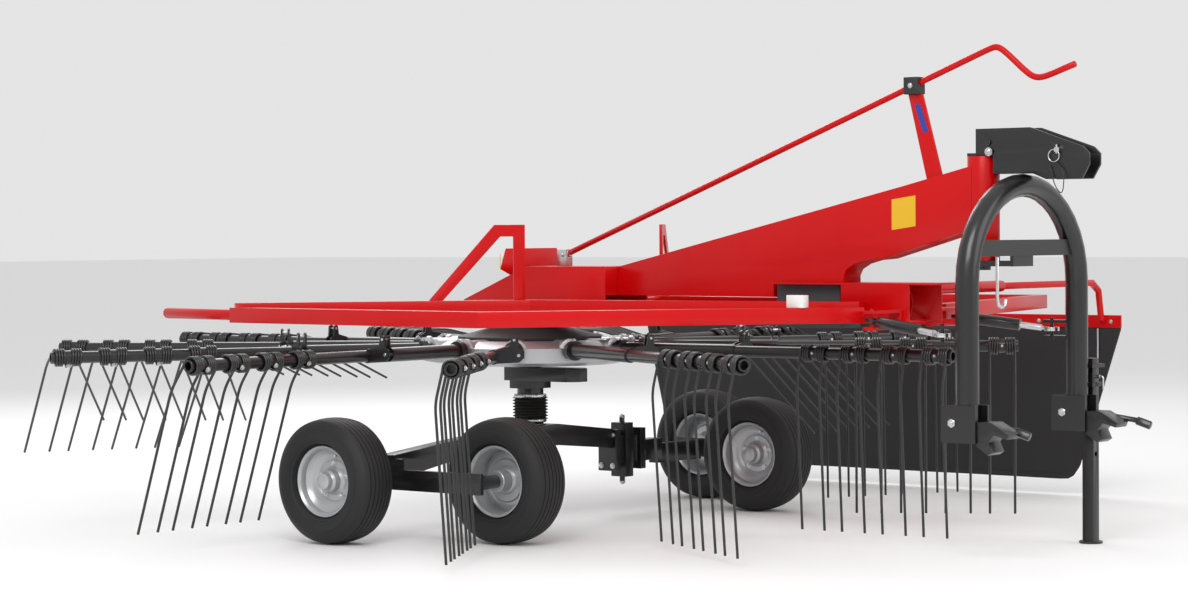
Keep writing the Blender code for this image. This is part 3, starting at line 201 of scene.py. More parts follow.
class Surface:
    """Vertices and faces of one piece, gathered from grids and flat faces."""

    def __init__(self) -> None:
        """Start empty."""
        self.points: list[Array] = []
        self.faces: list[list[int]] = []
        self.count = 0

    def grid(self, points: Array, closed: bool = False) -> "Surface":
        """Add a tube-like grid that wraps across its columns, with a flat face on open ends.

        Args:
            points: grid of points, (rows, columns, 3).
            closed: whether the last row joins the first.

        Returns:
            This surface, so that calls can follow one another.
        """
        first = self.lattice(points, closed, wrapped=True)
        if not closed:
            rows, columns = points.shape[:2]
            self.faces.append((np.arange(columns) + first).tolist())
            self.faces.append((np.arange(columns) + (rows - 1) * columns + first).tolist())
        return self

    def sheet(self, points: Array) -> "Surface":
        """Add an open grid of points as one layer of quads."""
        self.lattice(points, closed=False, wrapped=False)
        return self

    def lattice(self, points: Array, closed: bool, wrapped: bool) -> int:
        """Add a grid of points with a quad between each four neighbours.

        Args:
            points: grid of points, (rows, columns, 3).
            closed: whether the last row joins the first.
            wrapped: whether the last column joins the first.

        Returns:
            The number of the grid's first point.
        """
        rows, columns = points.shape[:2]
        first = self.count
        row = np.arange(rows if closed else rows - 1)[:, None]
        column = np.arange(columns if wrapped else columns - 1)[None, :]
        ahead, beside = (row + 1) % rows, (column + 1) % columns
        quads = np.stack([row * columns + column, row * columns + beside,
                          ahead * columns + beside, ahead * columns + column], axis=-1)
        self.faces.extend((quads.reshape(-1, 4) + first).tolist())
        self.points.append(points.reshape(-1, 3))
        self.count += rows * columns
        return first

    def prism(self, outline: Array, start: Sequence[float], end: Sequence[float]) -> "Surface":
        """Add an outline of 3-D points drawn from one offset to another."""
        return self.grid(np.stack([outline + np.array(start, float), outline + np.array(end, float)]))

    def box(self, low: Sequence[float], high: Sequence[float]) -> "Surface":
        """Add a box with its sides along the axes.

        Args:
            low: its lowest corner.
            high: its highest corner.

        Returns:
            This surface.
        """
        low, high = np.array(low, float), np.array(high, float)
        ring = np.array([[low[0], low[1]], [high[0], low[1]], [high[0], high[1]], [low[0], high[1]]])
        flat = np.column_stack([ring, np.zeros(4)])
        return self.prism(flat, (0, 0, low[2]), (0, 0, high[2]))

    def rod(self, start: Sequence[float], end: Sequence[float], radius: float,
            sides: int = 20) -> "Surface":
        """Add a round bar with slightly broken edges.

        Args:
            start: middle of one end.
            end: middle of the other end.
            radius: the bar's radius.
            sides: how many flats its round has.

        Returns:
            This surface.
        """
        start, end = np.array(start, float), np.array(end, float)
        length = np.linalg.norm(end - start)
        rim = min(radius * 0.15, 0.002, length / 4)
        profile = [(radius - rim, 0), (radius, rim), (radius, length - rim), (radius - rim, length)]
        shape = revolve(profile, sides)
        return self.grid(turn_to(shape, end - start) + start)

    def bolt(self, place: Sequence[float], direction: Sequence[float], size: float) -> "Surface":
        """Add a washer, a hexagon head and the end of its thread, standing on a face.

        Args:
            place: the point of the face under the bolt.
            direction: where the head points.
            size: radius of the hexagon; the other measures are shares of it.

        Returns:
            This surface.
        """
        place = np.array(place, float)
        washer = revolve([(size * 1.25, 0), (size * 1.25, size * 0.16)], 20)
        head = revolve([(size, size * 0.16), (size, size * 0.72), (size * 0.86, size * 0.82)], 6)
        thread = revolve([(size * 0.48, size * 0.80), (size * 0.48, size * 1.12),
                          (size * 0.40, size * 1.2)], 12)
        for shape in (washer, head, thread):
            self.grid(turn_to(shape, direction) + place)
        return self

    def moved(self, turn: Array, shift: Sequence[float] = (0.0, 0.0, 0.0)) -> "Surface":
        """A copy of this surface, turned by a 3 x 3 matrix and then shifted.

        Args:
            turn: the rotation about the origin.
            shift: what is added afterwards.

        Returns:
            The copy, which shares its faces with this one.
        """
        copy = Surface()
        copy.points = [points @ turn.T + np.array(shift, float) for points in self.points]
        copy.faces, copy.count = self.faces, self.count
        return copy

    def add(self, other: "Surface") -> "Surface":
        """Take in another surface.

        Args:
            other: the surface, which stays as it is.

        Returns:
            This surface.
        """
        self.faces = self.faces + [[index + self.count for index in face] for face in other.faces]
        self.points = self.points + other.points
        self.count += other.count
        return self

    def piece(self, name: str, finish: "Finish", body: str, replaces: Iterable[str] = (),
              smooth: float = SMOOTH_ANGLE) -> bpy.types.Object:
        """Make the finished object, ride it on its body and report it.

        Args:
            name: the piece's name.
            finish: what it is dressed in.
            body: the frame body that carries it.
            replaces: frame nodes that it stands for.
            smooth: edges sharper than this angle stay sharp.

        Returns:
            The new object.
        """
        mesh = bpy.data.meshes.new(name)
        mesh.from_pydata(np.concatenate(self.points).tolist(), [], self.faces)
        shape = bmesh.new()
        shape.from_mesh(mesh)
        bmesh.ops.recalc_face_normals(shape, faces=shape.faces)
        shape.to_mesh(mesh)
        shape.free()
        obj = bpy.data.objects.new(name, mesh)
        bpy.context.scene.collection.objects.link(obj)
        mesh.shade_smooth()
        mesh.set_sharp_from_angle(angle=smooth)
        mesh.materials.append(finish.material())
        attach(obj, body)
        names = tuple(replaces)
        if names:
            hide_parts(*names)
        LOG.info("%s: %d faces on %s", name, len(self.faces), body)
        return obj


# ---- Finishes ----------------------------------------------------------------------------------
class Grain(Enum):
    """Kinds of fine surface relief."""

    ORANGE_PEEL = (900.0, 0.02, 0.0002)
    CASTING = (420.0, 0.55, 0.0006)
    RUBBER = (650.0, 0.30, 0.0004)
    BRUSHED = (1400.0, 0.16, 0.0002)
    MOULDED = (1100.0, 0.22, 0.0002)


def wear_group() -> bpy.types.NodeTree:
    """Shared group: patchy tone, settled dust and fine relief from noise in object space.

    Returns:
        The node group, made on the first call. Its tone is Colour mixed with a darker self by a
        broad noise, its dust a pale tint on faces that look up, and its height a fine noise.
    """
    name = "surface_wear"
    if name in bpy.data.node_groups:
        return bpy.data.node_groups[name]
    group = bpy.data.node_groups.new(name, "ShaderNodeTree")
    socket = group.interface.new_socket
    socket("Colour", in_out="INPUT", socket_type="NodeSocketColor")
    numbers = {"Variation": 0.1, "Dust": 0.05, "Grain Scale": 800.0, "Base Roughness": 0.4,
               "Roughness Spread": 0.08}
    for label, value in numbers.items():
        socket(label, in_out="INPUT", socket_type="NodeSocketFloat").default_value = value
    socket("Colour", in_out="OUTPUT", socket_type="NodeSocketColor")
    socket("Roughness", in_out="OUTPUT", socket_type="NodeSocketFloat")
    socket("Height", in_out="OUTPUT", socket_type="NodeSocketFloat")
    nodes, links = group.nodes, group.links
    given, out = nodes.new("NodeGroupInput"), nodes.new("NodeGroupOutput")
    place = nodes.new("ShaderNodeTexCoord")
    broad = noise_node(nodes, 5.0, 4.0)
    fine = noise_node(nodes, 800.0, 2.0)
    for node in (broad, fine):
        links.new(place.outputs["Object"], node.inputs["Vector"])
    links.new(given.outputs["Grain Scale"], fine.inputs["Scale"])
    darker = mix_node(nodes, "MULTIPLY")
    darker.inputs["B"].default_value = (0.55, 0.55, 0.55, 1.0)
    links.new(given.outputs["Colour"], darker.inputs["A"])
    patch = maths_node(nodes, links, "MULTIPLY", broad.outputs["Fac"], given.outputs["Variation"])
    links.new(patch, darker.inputs["Factor"])
    surface = nodes.new("ShaderNodeNewGeometry")
    split = nodes.new("ShaderNodeSeparateXYZ")
    links.new(surface.outputs["Normal"], split.inputs["Vector"])
    upward = nodes.new("ShaderNodeMapRange")
    upward.inputs["From Min"].default_value = 0.55
    links.new(split.outputs["Z"], upward.inputs["Value"])
    settled = maths_node(nodes, links, "MULTIPLY", upward.outputs["Result"], given.outputs["Dust"])
    settled = maths_node(nodes, links, "MULTIPLY", settled, broad.outputs["Fac"])
    dusty = mix_node(nodes, "MIX")
    dusty.inputs["B"].default_value = (0.60, 0.57, 0.52, 1.0)
    links.new(darker.outputs["Result"], dusty.inputs["A"])
    links.new(settled, dusty.inputs["Factor"])
    links.new(dusty.outputs["Result"], out.inputs["Colour"])
    ripple = maths_node(nodes, links, "MULTIPLY", broad.outputs["Fac"],
                        given.outputs["Roughness Spread"])
    rough = maths_node(nodes, links, "ADD", given.outputs["Base Roughness"], ripple)
    links.new(rough, out.inputs["Roughness"])
    links.new(fine.outputs["Fac"], out.inputs["Height"])
    return group


def noise_node(nodes: bpy.types.Nodes, scale: float, detail: float) -> bpy.types.Node:
    """A noise texture.

    Args:
        nodes: the tree's nodes.
        scale: its scale.
        detail: its octaves.

    Returns:
        The new node.
    """
    node = nodes.new("ShaderNodeTexNoise")
    node.inputs["Scale"].default_value = scale
    node.inputs["Detail"].default_value = detail
    return node


class Pair:
    """Colour sockets of a Mix node under plain names."""

    def __init__(self, node: bpy.types.Node) -> None:
        """Look up the colour sockets, which share their names with the float ones."""
        self.inputs = {"Factor": node.inputs[0], "A": node.inputs[6], "B": node.inputs[7]}
        self.outputs = {"Result": node.outputs[2]}


def mix_node(nodes: bpy.types.Nodes, blend: str) -> Pair:
    """A colour mix.

    Args:
        nodes: the tree's nodes.
        blend: how the second colour goes on the first.

    Returns:
        The new node's colour sockets.
    """
    node = nodes.new("ShaderNodeMix")
    node.data_type = "RGBA"
    node.blend_type = blend
    return Pair(node)


def maths_node(nodes: bpy.types.Nodes, links: bpy.types.NodeLinks, operation: str,
               first: bpy.types.NodeSocket | float,
               second: bpy.types.NodeSocket | float) -> bpy.types.NodeSocket:
    """A sum or product of two sockets or numbers.

    Args:
        nodes: the tree's nodes.
        links: the tree's links.
        operation: the Math node's operation.
        first: a socket or a number.
        second: a socket or a number.

    Returns:
        The result's socket.
    """
    node = nodes.new("ShaderNodeMath")
    node.operation = operation
    for target, value in zip(node.inputs, (first, second)):
        if isinstance(value, (int, float)):
            target.default_value = value
        else:
            links.new(value, target)
    return node.outputs[0]


@dataclass(frozen=True)
class Finish:
    """One paint, metal, rubber or plastic."""

    name: str
    slot: str
    colour: tuple[float, float, float]
    roughness: float
    metallic: float = 0.0
    coat: float = 0.0
    grain: Grain = Grain.ORANGE_PEEL
    variation: float = 0.10
    dust: float = 0.06
    specular: float = 0.5

    def material(self) -> bpy.types.Material:
        """The finish's material, made on the first call."""
        if self.name in bpy.data.materials:
            return bpy.data.materials[self.name]
        material = bpy.data.materials.new(self.name)
        material.use_nodes = True
        nodes, links = material.node_tree.nodes, material.node_tree.links
        shader = nodes["Principled BSDF"]
        shader.inputs["Metallic"].default_value = self.metallic
        shader.inputs["Coat Weight"].default_value = self.coat
        shader.inputs["Coat Roughness"].default_value = 0.12
        shader.inputs["Specular IOR Level"].default_value = self.specular
        scale, strength, depth = self.grain.value
        wear = nodes.new("ShaderNodeGroup")
        wear.node_tree = wear_group()
        wear.inputs["Colour"].default_value = (*self.colour, 1.0)
        wear.inputs["Variation"].default_value = self.variation
        wear.inputs["Dust"].default_value = self.dust
        wear.inputs["Grain Scale"].default_value = scale
        wear.inputs["Base Roughness"].default_value = self.roughness
        bump = nodes.new("ShaderNodeBump")
        bump.inputs["Strength"].default_value = strength
        bump.inputs["Distance"].default_value = depth
        links.new(wear.outputs["Colour"], shader.inputs["Base Color"])
        links.new(wear.outputs["Roughness"], shader.inputs["Roughness"])
        links.new(self.relief(nodes, links, wear.outputs["Height"]), bump.inputs["Height"])
        links.new(bump.outputs["Normal"], shader.inputs["Normal"])
        return material

    def relief(self, nodes: bpy.types.Nodes, links: bpy.types.NodeLinks,
               height: bpy.types.NodeSocket) -> bpy.types.NodeSocket:
        """The height that the bump reads; plain finishes use the fine grain as it is."""
        return height


@dataclass(frozen=True)
class Weave(Finish):
    """Coated cloth: two crossed waves along X and Z under the fine grain."""

    threads: float = 420.0

    def relief(self, nodes: bpy.types.Nodes, links: bpy.types.NodeLinks,
               height: bpy.types.NodeSocket) -> bpy.types.NodeSocket:
        """Sum of a warp wave, a weft wave and the grain.

        Args:
            nodes: the tree's nodes.
            links: the tree's links.
            height: the fine grain.

        Returns:
            The socket of the sum.
        """
        place = nodes.new("ShaderNodeTexCoord")
        total = height
        for direction in ("X", "Z"):
            wave = nodes.new("ShaderNodeTexWave")
            wave.bands_direction = direction
            wave.inputs["Scale"].default_value = self.threads
            links.new(place.outputs["Object"], wave.inputs["Vector"])
            total = maths_node(nodes, links, "ADD", total, wave.outputs["Fac"])
        return total


RED = Finish("red_paint_coat", "red_paint", (0.54, 0.0008, 0.002), 0.26, coat=0.08, variation=0.12,
             dust=0.008, specular=0.22)
BLACK = Finish("black_paint_coat", "black_paint", (0.006, 0.006, 0.0065), 0.28, coat=0.30,
               variation=0.2, dust=0.015)
SPRING = Finish("spring_wire_coat", "black_paint", (0.014, 0.014, 0.015), 0.34, coat=0.2,
                variation=0.25, dust=0.01)
DARK = Finish("dark_plastic_skin", "dark_plastic", (0.018, 0.018, 0.019), 0.52, grain=Grain.MOULDED)
BELLOWS = Finish("bellows_rubber", "black_paint", (0.012, 0.012, 0.012), 0.55, grain=Grain.RUBBER)
SILVER = Finish("silver_enamel", "silver_paint", (0.52, 0.53, 0.55), 0.34, metallic=0.75,
                variation=0.18)
RIM_SILVER = Finish("rim_lacquer", "silver_paint", (0.50, 0.51, 0.52), 0.30, metallic=0.6, coat=0.3,
                    variation=0.22)
ZINC = Finish("zinc_plate", "zinc_steel", (0.66, 0.67, 0.68), 0.24, metallic=1.0,
              grain=Grain.BRUSHED, variation=0.2)
IRON = Finish("cast_iron_paint", "grey_iron", (0.045, 0.045, 0.048), 0.48, metallic=0.2,
              grain=Grain.CASTING)
RUBBER = Finish("tyre_tread_rubber", "tyre_rubber", (0.010, 0.010, 0.011), 0.62, grain=Grain.RUBBER,
                variation=0.3, dust=0.05)
CLOTH = Weave("curtain_weave", "curtain_cloth", (0.016, 0.016, 0.018), 0.66,
              grain=Grain.MOULDED, variation=0.35)
WHITE = Finish("reflector_lens_white", "reflector_white", (0.80, 0.80, 0.78), 0.20, coat=0.6)
GREEN = Finish("reflector_side_green", "reflector_white", (0.03, 0.30, 0.12), 0.35)
YELLOW = Finish("label_yellow", "reflector_white", (0.72, 0.42, 0.01), 0.40, variation=0.04)
BLUE = Finish("label_blue", "reflector_white", (0.02, 0.04, 0.28), 0.40, variation=0.04)


# ---- Frame pieces that keep their shape --------------------------------------------------------
def smooth_group() -> bpy.types.NodeTree:
    """Shared geometry nodes: smooth faces, with edges sharper than the limit kept crisp."""
    name = "smooth_by_angle"
    if name in bpy.data.node_groups:
        return bpy.data.node_groups[name]
    group = bpy.data.node_groups.new(name, "GeometryNodeTree")
    group.interface.new_socket("Geometry", in_out="INPUT", socket_type="NodeSocketGeometry")
    group.interface.new_socket("Geometry", in_out="OUTPUT", socket_type="NodeSocketGeometry")
    nodes, links = group.nodes, group.links
    given, out = nodes.new("NodeGroupInput"), nodes.new("NodeGroupOutput")
    faces, edges = nodes.new("GeometryNodeSetShadeSmooth"), nodes.new("GeometryNodeSetShadeSmooth")
    edges.domain = "EDGE"
    edges.inputs["Shade Smooth"].default_value = False
    angle, limit = nodes.new("GeometryNodeInputMeshEdgeAngle"), nodes.new("FunctionNodeCompare")
    limit.operation = "GREATER_THAN"
    limit.inputs[1].default_value = SMOOTH_ANGLE
    links.new(given.outputs[0], faces.inputs["Geometry"])
    links.new(faces.outputs[0], edges.inputs["Geometry"])
    links.new(angle.outputs[0], limit.inputs[0])
    links.new(limit.outputs[0], edges.inputs["Selection"])
    links.new(edges.outputs[0], out.inputs[0])
    return group


@dataclass
class Bodywork:
    """Frame nodes whose shape is right: each gets its coat and rounded edges."""

    coats: dict[str, Finish] = field(default_factory=lambda: {
        "red_paint": RED, "black_paint": BLACK, "dark_plastic": DARK, "silver_paint": SILVER,
        "zinc_steel": ZINC, "grey_iron": IRON, "tyre_rubber": RUBBER, "curtain_cloth": CLOTH,
        "reflector_white": WHITE})
    weld: float = 0.00005
    edge: float = 0.0018
    unrounded: tuple[str, ...] = ("rotor_hub", "headstock")

    def dress(self, replaced: set[str]) -> None:
        """Give every node that still shows its coat, welded seams and bevelled edges.

        Args:
            replaced: nodes that other pieces stand for.
        """
        for part in frame["record"]["subparts"]:
            node, slot = part["node"], part["material_slot"]
            if node in replaced:
                continue
            obj = frame["nodes"][node]
            obj.data.materials.clear()
            obj.data.materials.append(self.coats[slot].material())
            obj.modifiers.new("welded_seams", "WELD").merge_threshold = self.weld
            if node not in self.unrounded:
                rounded = obj.modifiers.new("rounded_edges", "BEVEL")
                rounded.width = self.edge
                rounded.segments = 2
                rounded.limit_method = "ANGLE"
                rounded.angle_limit = SMOOTH_ANGLE
            obj.modifiers.new("smooth", "NODES").node_group = smooth_group()
            LOG.info("%s dressed in %s", node, slot)


# ---- Rotor ------------------------------------------------------------------------------------
@dataclass
class TineArms:
    """Twelve arms: tube and sleeve, lock lug, and four double spring tines with their clamps."""

    count: int = 12
    first: float = -57.73
    height: float = 0.6113
    tip: float = 1.7215
    root: float = 0.300
    tube: float = 0.020
    sleeve: float = 0.024
    sleeve_end: float = 0.880
    mouth: float = 0.0225
    bore: float = 0.0135
    collar: tuple[float, float] = (0.392, 0.416)
    collar_rise: float = 0.010
    places: tuple[float, ...] = (1.665, 1.511, 1.356, 1.201)
    spread: float = 0.0435
    inner: float = 0.0125
    wire: float = 0.0045
    coil: float = 0.0265
    turns: float = 3.5
    kink: tuple[float, float] = (0.050, -0.105)
    end: tuple[float, float] = (0.020, -0.585)
    tilt: tuple[float, ...] = (0, 0, 0, 0, 5, 50, 75, 80, 72, 58, 52, 22)

    def bar(self) -> Surface:
        """Hollow tube end, tube, sleeve and stop collar as one profile turned about X."""
        tip, tube, sleeve, step = self.tip, self.tube, self.sleeve, self.sleeve_end
        collar, (near, far) = self.sleeve + self.collar_rise, self.collar
        profile = [(self.bore, tip - 0.040), (self.bore, tip - 0.001), (self.bore + 0.001, tip),
                   (tube - 0.001, tip), (tube, tip - 0.001), (tube, step + 0.004),
                   (self.mouth, step + 0.004), (self.mouth, step), (sleeve - 0.001, step),
                   (sleeve, step - 0.001), (sleeve, far), (collar - 0.001, far),
                   (collar, far - 0.001), (collar, near + 0.001), (collar - 0.001, near),
                   (sleeve, near), (sleeve, self.root)]
        return Surface().grid(turn_to(revolve(profile, 32), (1, 0, 0)))

    def lug(self) -> Surface:
        """Two lock plates beside each other on the leading side, with a web between them."""
        outline = np.array([(0.005, -0.021), (0.085, -0.017), (0.100, -0.004), (0.100, 0.020),
                            (0.083, 0.030), (0.080, 0.066), (0.072, 0.070), (0.062, 0.066),
                            (0.056, 0.034), (0.005, 0.022)])
        flat = np.column_stack([np.zeros(len(outline)), outline])
        surface = Surface()
        for start in (self.sleeve_end - 0.024, self.sleeve_end):
            surface.prism(flat, (start, 0, 0), (start + 0.006, 0, 0))
        surface.box((self.sleeve_end - 0.020, 0.012, -0.014), (self.sleeve_end + 0.002, 0.058, -0.008))
        return surface

    def lug_pins(self) -> Surface:
        """Lock pin, the pin through the upper ends of the plates, and the bolt of the collar."""
        place = self.sleeve_end
        surface = Surface()
        surface.rod((place - 0.030, 0.086, 0.006), (place + 0.012, 0.086, 0.006), 0.0055, 16)
        surface.rod((place - 0.026, 0.071, 0.056), (place + 0.008, 0.071, 0.056), 0.0045, 16)
        surface.bolt((0.404, 0.0, self.sleeve + 0.009), (0, 0, 1), 0.0075)
        return surface

    def wires(self) -> Surface:
        """Both halves of each tine: helix (r cos t, r sin t) about X, then a leg with one bend."""
        sweep_angle = np.linspace(self.turns * 2 * math.pi, 0, int(self.turns * 16) + 1)
        share = sweep_angle / (self.turns * 2 * math.pi)
        trail, rise = self.coil * np.cos(sweep_angle), self.coil * np.sin(sweep_angle)
        across = self.spread + (self.inner - self.spread) * share
        leg = rounded_path([(self.coil, -0.004), self.kink, self.end], 0.030, 6)
        surface = Surface()
        for reach in self.places:
            for side in (-1, 1):
                winding = np.column_stack([reach + side * across, -trail, rise])
                reaches = np.full(len(leg), reach + side * self.spread)
                hanging = np.column_stack([reaches, -leg[:, 0], leg[:, 1]])
                path = np.concatenate([winding, hanging])
                surface.grid(sweep(path, circle(self.wire, 8), (1, 0, 0)))
        return surface

    def clamps(self) -> Surface:
        """Saddle round the tube between the two coils of each tine, with its clamping lip."""
        surface = Surface()
        for reach in self.places:
            ring = [(self.tube, reach + 0.011), (self.tube + 0.004, reach + 0.010),
                    (self.tube + 0.004, reach - 0.010), (self.tube, reach - 0.011)]
            surface.grid(turn_to(revolve(ring, 28), (1, 0, 0)), closed=True)
            surface.box((reach - 0.011, 0.018, -0.010), (reach + 0.011, 0.034, 0.012))
        return surface

    def clamp_bolts(self) -> Surface:
        """One bolt on each clamp, on its leading side."""
        surface = Surface()
        for reach in self.places:
            surface.bolt((reach, 0.033, 0.001), (0, 1, 0), 0.0075)
            surface.rod((reach, 0.030, 0.001), (reach, -0.026, 0.001), 0.0045, 12)
        return surface

    def facing(self, index: int) -> Array:
        """Rotation that turns the X axis to an arm's direction."""
        return np.array(Matrix.Rotation(math.radians(self.first + index * 360 / self.count), 3, "Z"))

    def build(self) -> list[str]:
        """Make the twelve arms and name the frame nodes that they stand for."""
        nodes = []
        bar, wires, clamps = self.bar().add(self.lug()), self.wires(), self.clamps()
        pins, bolts = self.lug_pins(), self.clamp_bolts()
        for index in range(self.count):
            lift = np.array(Matrix.Rotation(-math.radians(self.tilt[index]), 3, "X"))
            around = self.facing(index)
            place = (AXIS_X, AXIS_Y, self.height)
            name = f"tine_arm_{index + 1:02d}"
            steel = Surface().add(bar.moved(around, place)).add(clamps.moved(around @ lift, place))
            steel.piece(f"arm_tube_{index + 1:02d}", BLACK, "rotor", [name])
            springs = wires.moved(around @ lift, place)
            springs.piece(f"spring_tines_{index + 1:02d}", SPRING, "rotor", smooth=1.2)
            bright = Surface().add(pins.moved(around, place)).add(bolts.moved(around @ lift, place))
            bright.piece(f"arm_bolts_{index + 1:02d}", ZINC, "rotor")
            nodes.append(name)
        return nodes


# ---- Wheels -----------------------------------------------------------------------------------
@dataclass
class Wheels:
    """Four tandem wheels: ribbed tyre, pressed rim with its bolts, and a hub with a grease cap."""

    radius: float = 0.2075
    width: float = 0.165
    seat: float = 0.112
    flange: float = 0.118
    rim_width: float = 0.120
    ribs: int = 7
    groove: float = 0.0055
    groove_width: float = 0.0035
    crown: float = 0.0075
    shoulder: float = 0.022
    bolts: int = 5
    bolt_circle: float = 0.058
    steps: int = 96

    def tread(self) -> list[tuple[float, float]]:
        """Crowned tread with straight grooves: radius = R - crown (2y/w)^2 - groove where one runs."""
        half = self.width / 2 - self.shoulder
        marks = np.linspace(half, -half, self.ribs + 1)
        rows = []
        for index, (start, end) in enumerate(zip(marks, marks[1:])):
            height = [self.radius - self.crown * (edge / half) ** 2 for edge in (start, end)]
            gap = self.groove_width
            first = start - (gap / 2 if index else 0)
            last = end + (gap / 2 if index < self.ribs - 1 else 0)
            rows += [(height[0], first), (height[1], last)]
            if index < self.ribs - 1:
                floor = height[1] - self.groove
                rows += [(floor, last - 0.0005), (floor, end - gap / 2 + 0.0005)]
        return rows

    def tyre(self) -> Surface:
        """Tyre section turned about its axle: bead, side wall with a ring, shoulder and tread."""
        half, flange, radius = self.width / 2, self.flange, self.radius
        bead = self.rim_width / 2 - 0.0115
        wall = [(self.seat + 0.0005, bead - 0.006), (flange + 0.001, bead - 0.002),
                (flange + 0.004, bead + 0.008), (flange + 0.009, half - 0.012),
                (flange + 0.016, half - 0.0075), (flange + 0.017, half - 0.0055),
                (flange + 0.020, half - 0.0055), (flange + 0.022, half - 0.0050),
                (radius - 0.062, half - 0.0015), (radius - 0.050, half), (radius - 0.042, half),
                (radius - 0.041, half - 0.0016), (radius - 0.036, half - 0.0020),
                (radius - 0.028, half - 0.005), (radius - 0.018, half - 0.012),
                (radius - 0.011, half - 0.018)]
        mirror = [(reach, -height) for reach, height in reversed(wall)]
        return Surface().grid(revolve(wall + self.tread() + mirror, self.steps), closed=True)

    def rim(self) -> Surface:
        """Rolled rim edges, drop centre and pressed disc as one closed section."""
        half, seat, flange = self.rim_width / 2, self.seat, self.flange
        roll = [(seat - 0.008, half - 0.014), (flange - 0.009, half - 0.006),
                (flange - 0.004, half - 0.002), (flange - 0.001, half - 0.003),
                (flange, half - 0.006), (flange - 0.001, half - 0.010), (seat, half - 0.014)]
        far_roll = [(reach, -height) for reach, height in reversed(roll)]
        outer = [(seat - 0.008, 0.030)] + roll + far_roll + [(seat - 0.008, 0.016)]
        disc = [(seat - 0.020, 0.010), (seat - 0.030, 0.004), (0.074, 0.004), (0.068, -0.002),
                (0.040, -0.002), (0.040, 0.004), (0.066, 0.004), (0.072, 0.010),
                (seat - 0.030, 0.012), (seat - 0.018, 0.018)]
        return Surface().grid(revolve(outer + disc, self.steps), closed=True)

    def hub(self) -> Surface:
        """Machined hub with a domed grease cap at the top."""
        profile = [(0.0, -0.052), (0.034, -0.052), (0.036, -0.050), (0.036, -0.010),
                   (0.044, -0.006), (0.050, 0.003), (0.044, 0.006), (0.037, 0.012), (0.036, 0.034),
                   (0.030, 0.038), (0.028, 0.040), (0.028, 0.052), (0.026, 0.057), (0.020, 0.060),
                   (0.010, 0.0615), (0.0, 0.062)]
        return Surface().grid(revolve([(max(r, 0.0004), h) for r, h in profile], 48))

    def studs(self) -> Surface:
        """Wheel nuts on their circle and the valve stem near the rim's edge."""
        surface = Surface()
        for row in circle(self.bolt_circle, self.bolts, 0.3):
            surface.bolt((row[0], row[1], 0.004), (0, 0, 1), 0.0085)
        x, y = circle(self.seat - 0.016, 1, 1.1)[0]
        surface.rod((x, y, 0.014), (x * 0.985, y * 0.985, 0.046), 0.0042, 14)
        return surface

    def build(self) -> list[str]:
        """Make the four wheels on their axles; rear caps face outwards and front caps inwards."""
        nodes = []
        for side, sign in (("right", -1), ("left", 1)):
            for end, outward in (("rear", sign), ("front", -sign)):
                name, body = f"{side}_{end}", f"wheel_{side}_{end}"
                turn = np.array(Matrix.Rotation(-outward * math.pi / 2, 3, "X"))
                place = middle(f"tyre_{name}")
                tyre = self.tyre().moved(turn, place)
                tyre.piece(f"ribbed_tyre_{name}", RUBBER, body, [f"tyre_{name}"], smooth=0.5)
                pressed = Surface().add(self.rim().moved(turn, place))
                pressed.piece(f"pressed_rim_{name}", RIM_SILVER, body, [f"rim_{name}"])
                self.hub().moved(turn, place).piece(f"wheel_hub_{name}", RIM_SILVER, body)
                self.studs().moved(turn, place).piece(f"wheel_nuts_{name}", ZINC, body)
                nodes += [f"tyre_{name}", f"rim_{name}"]
        return nodes


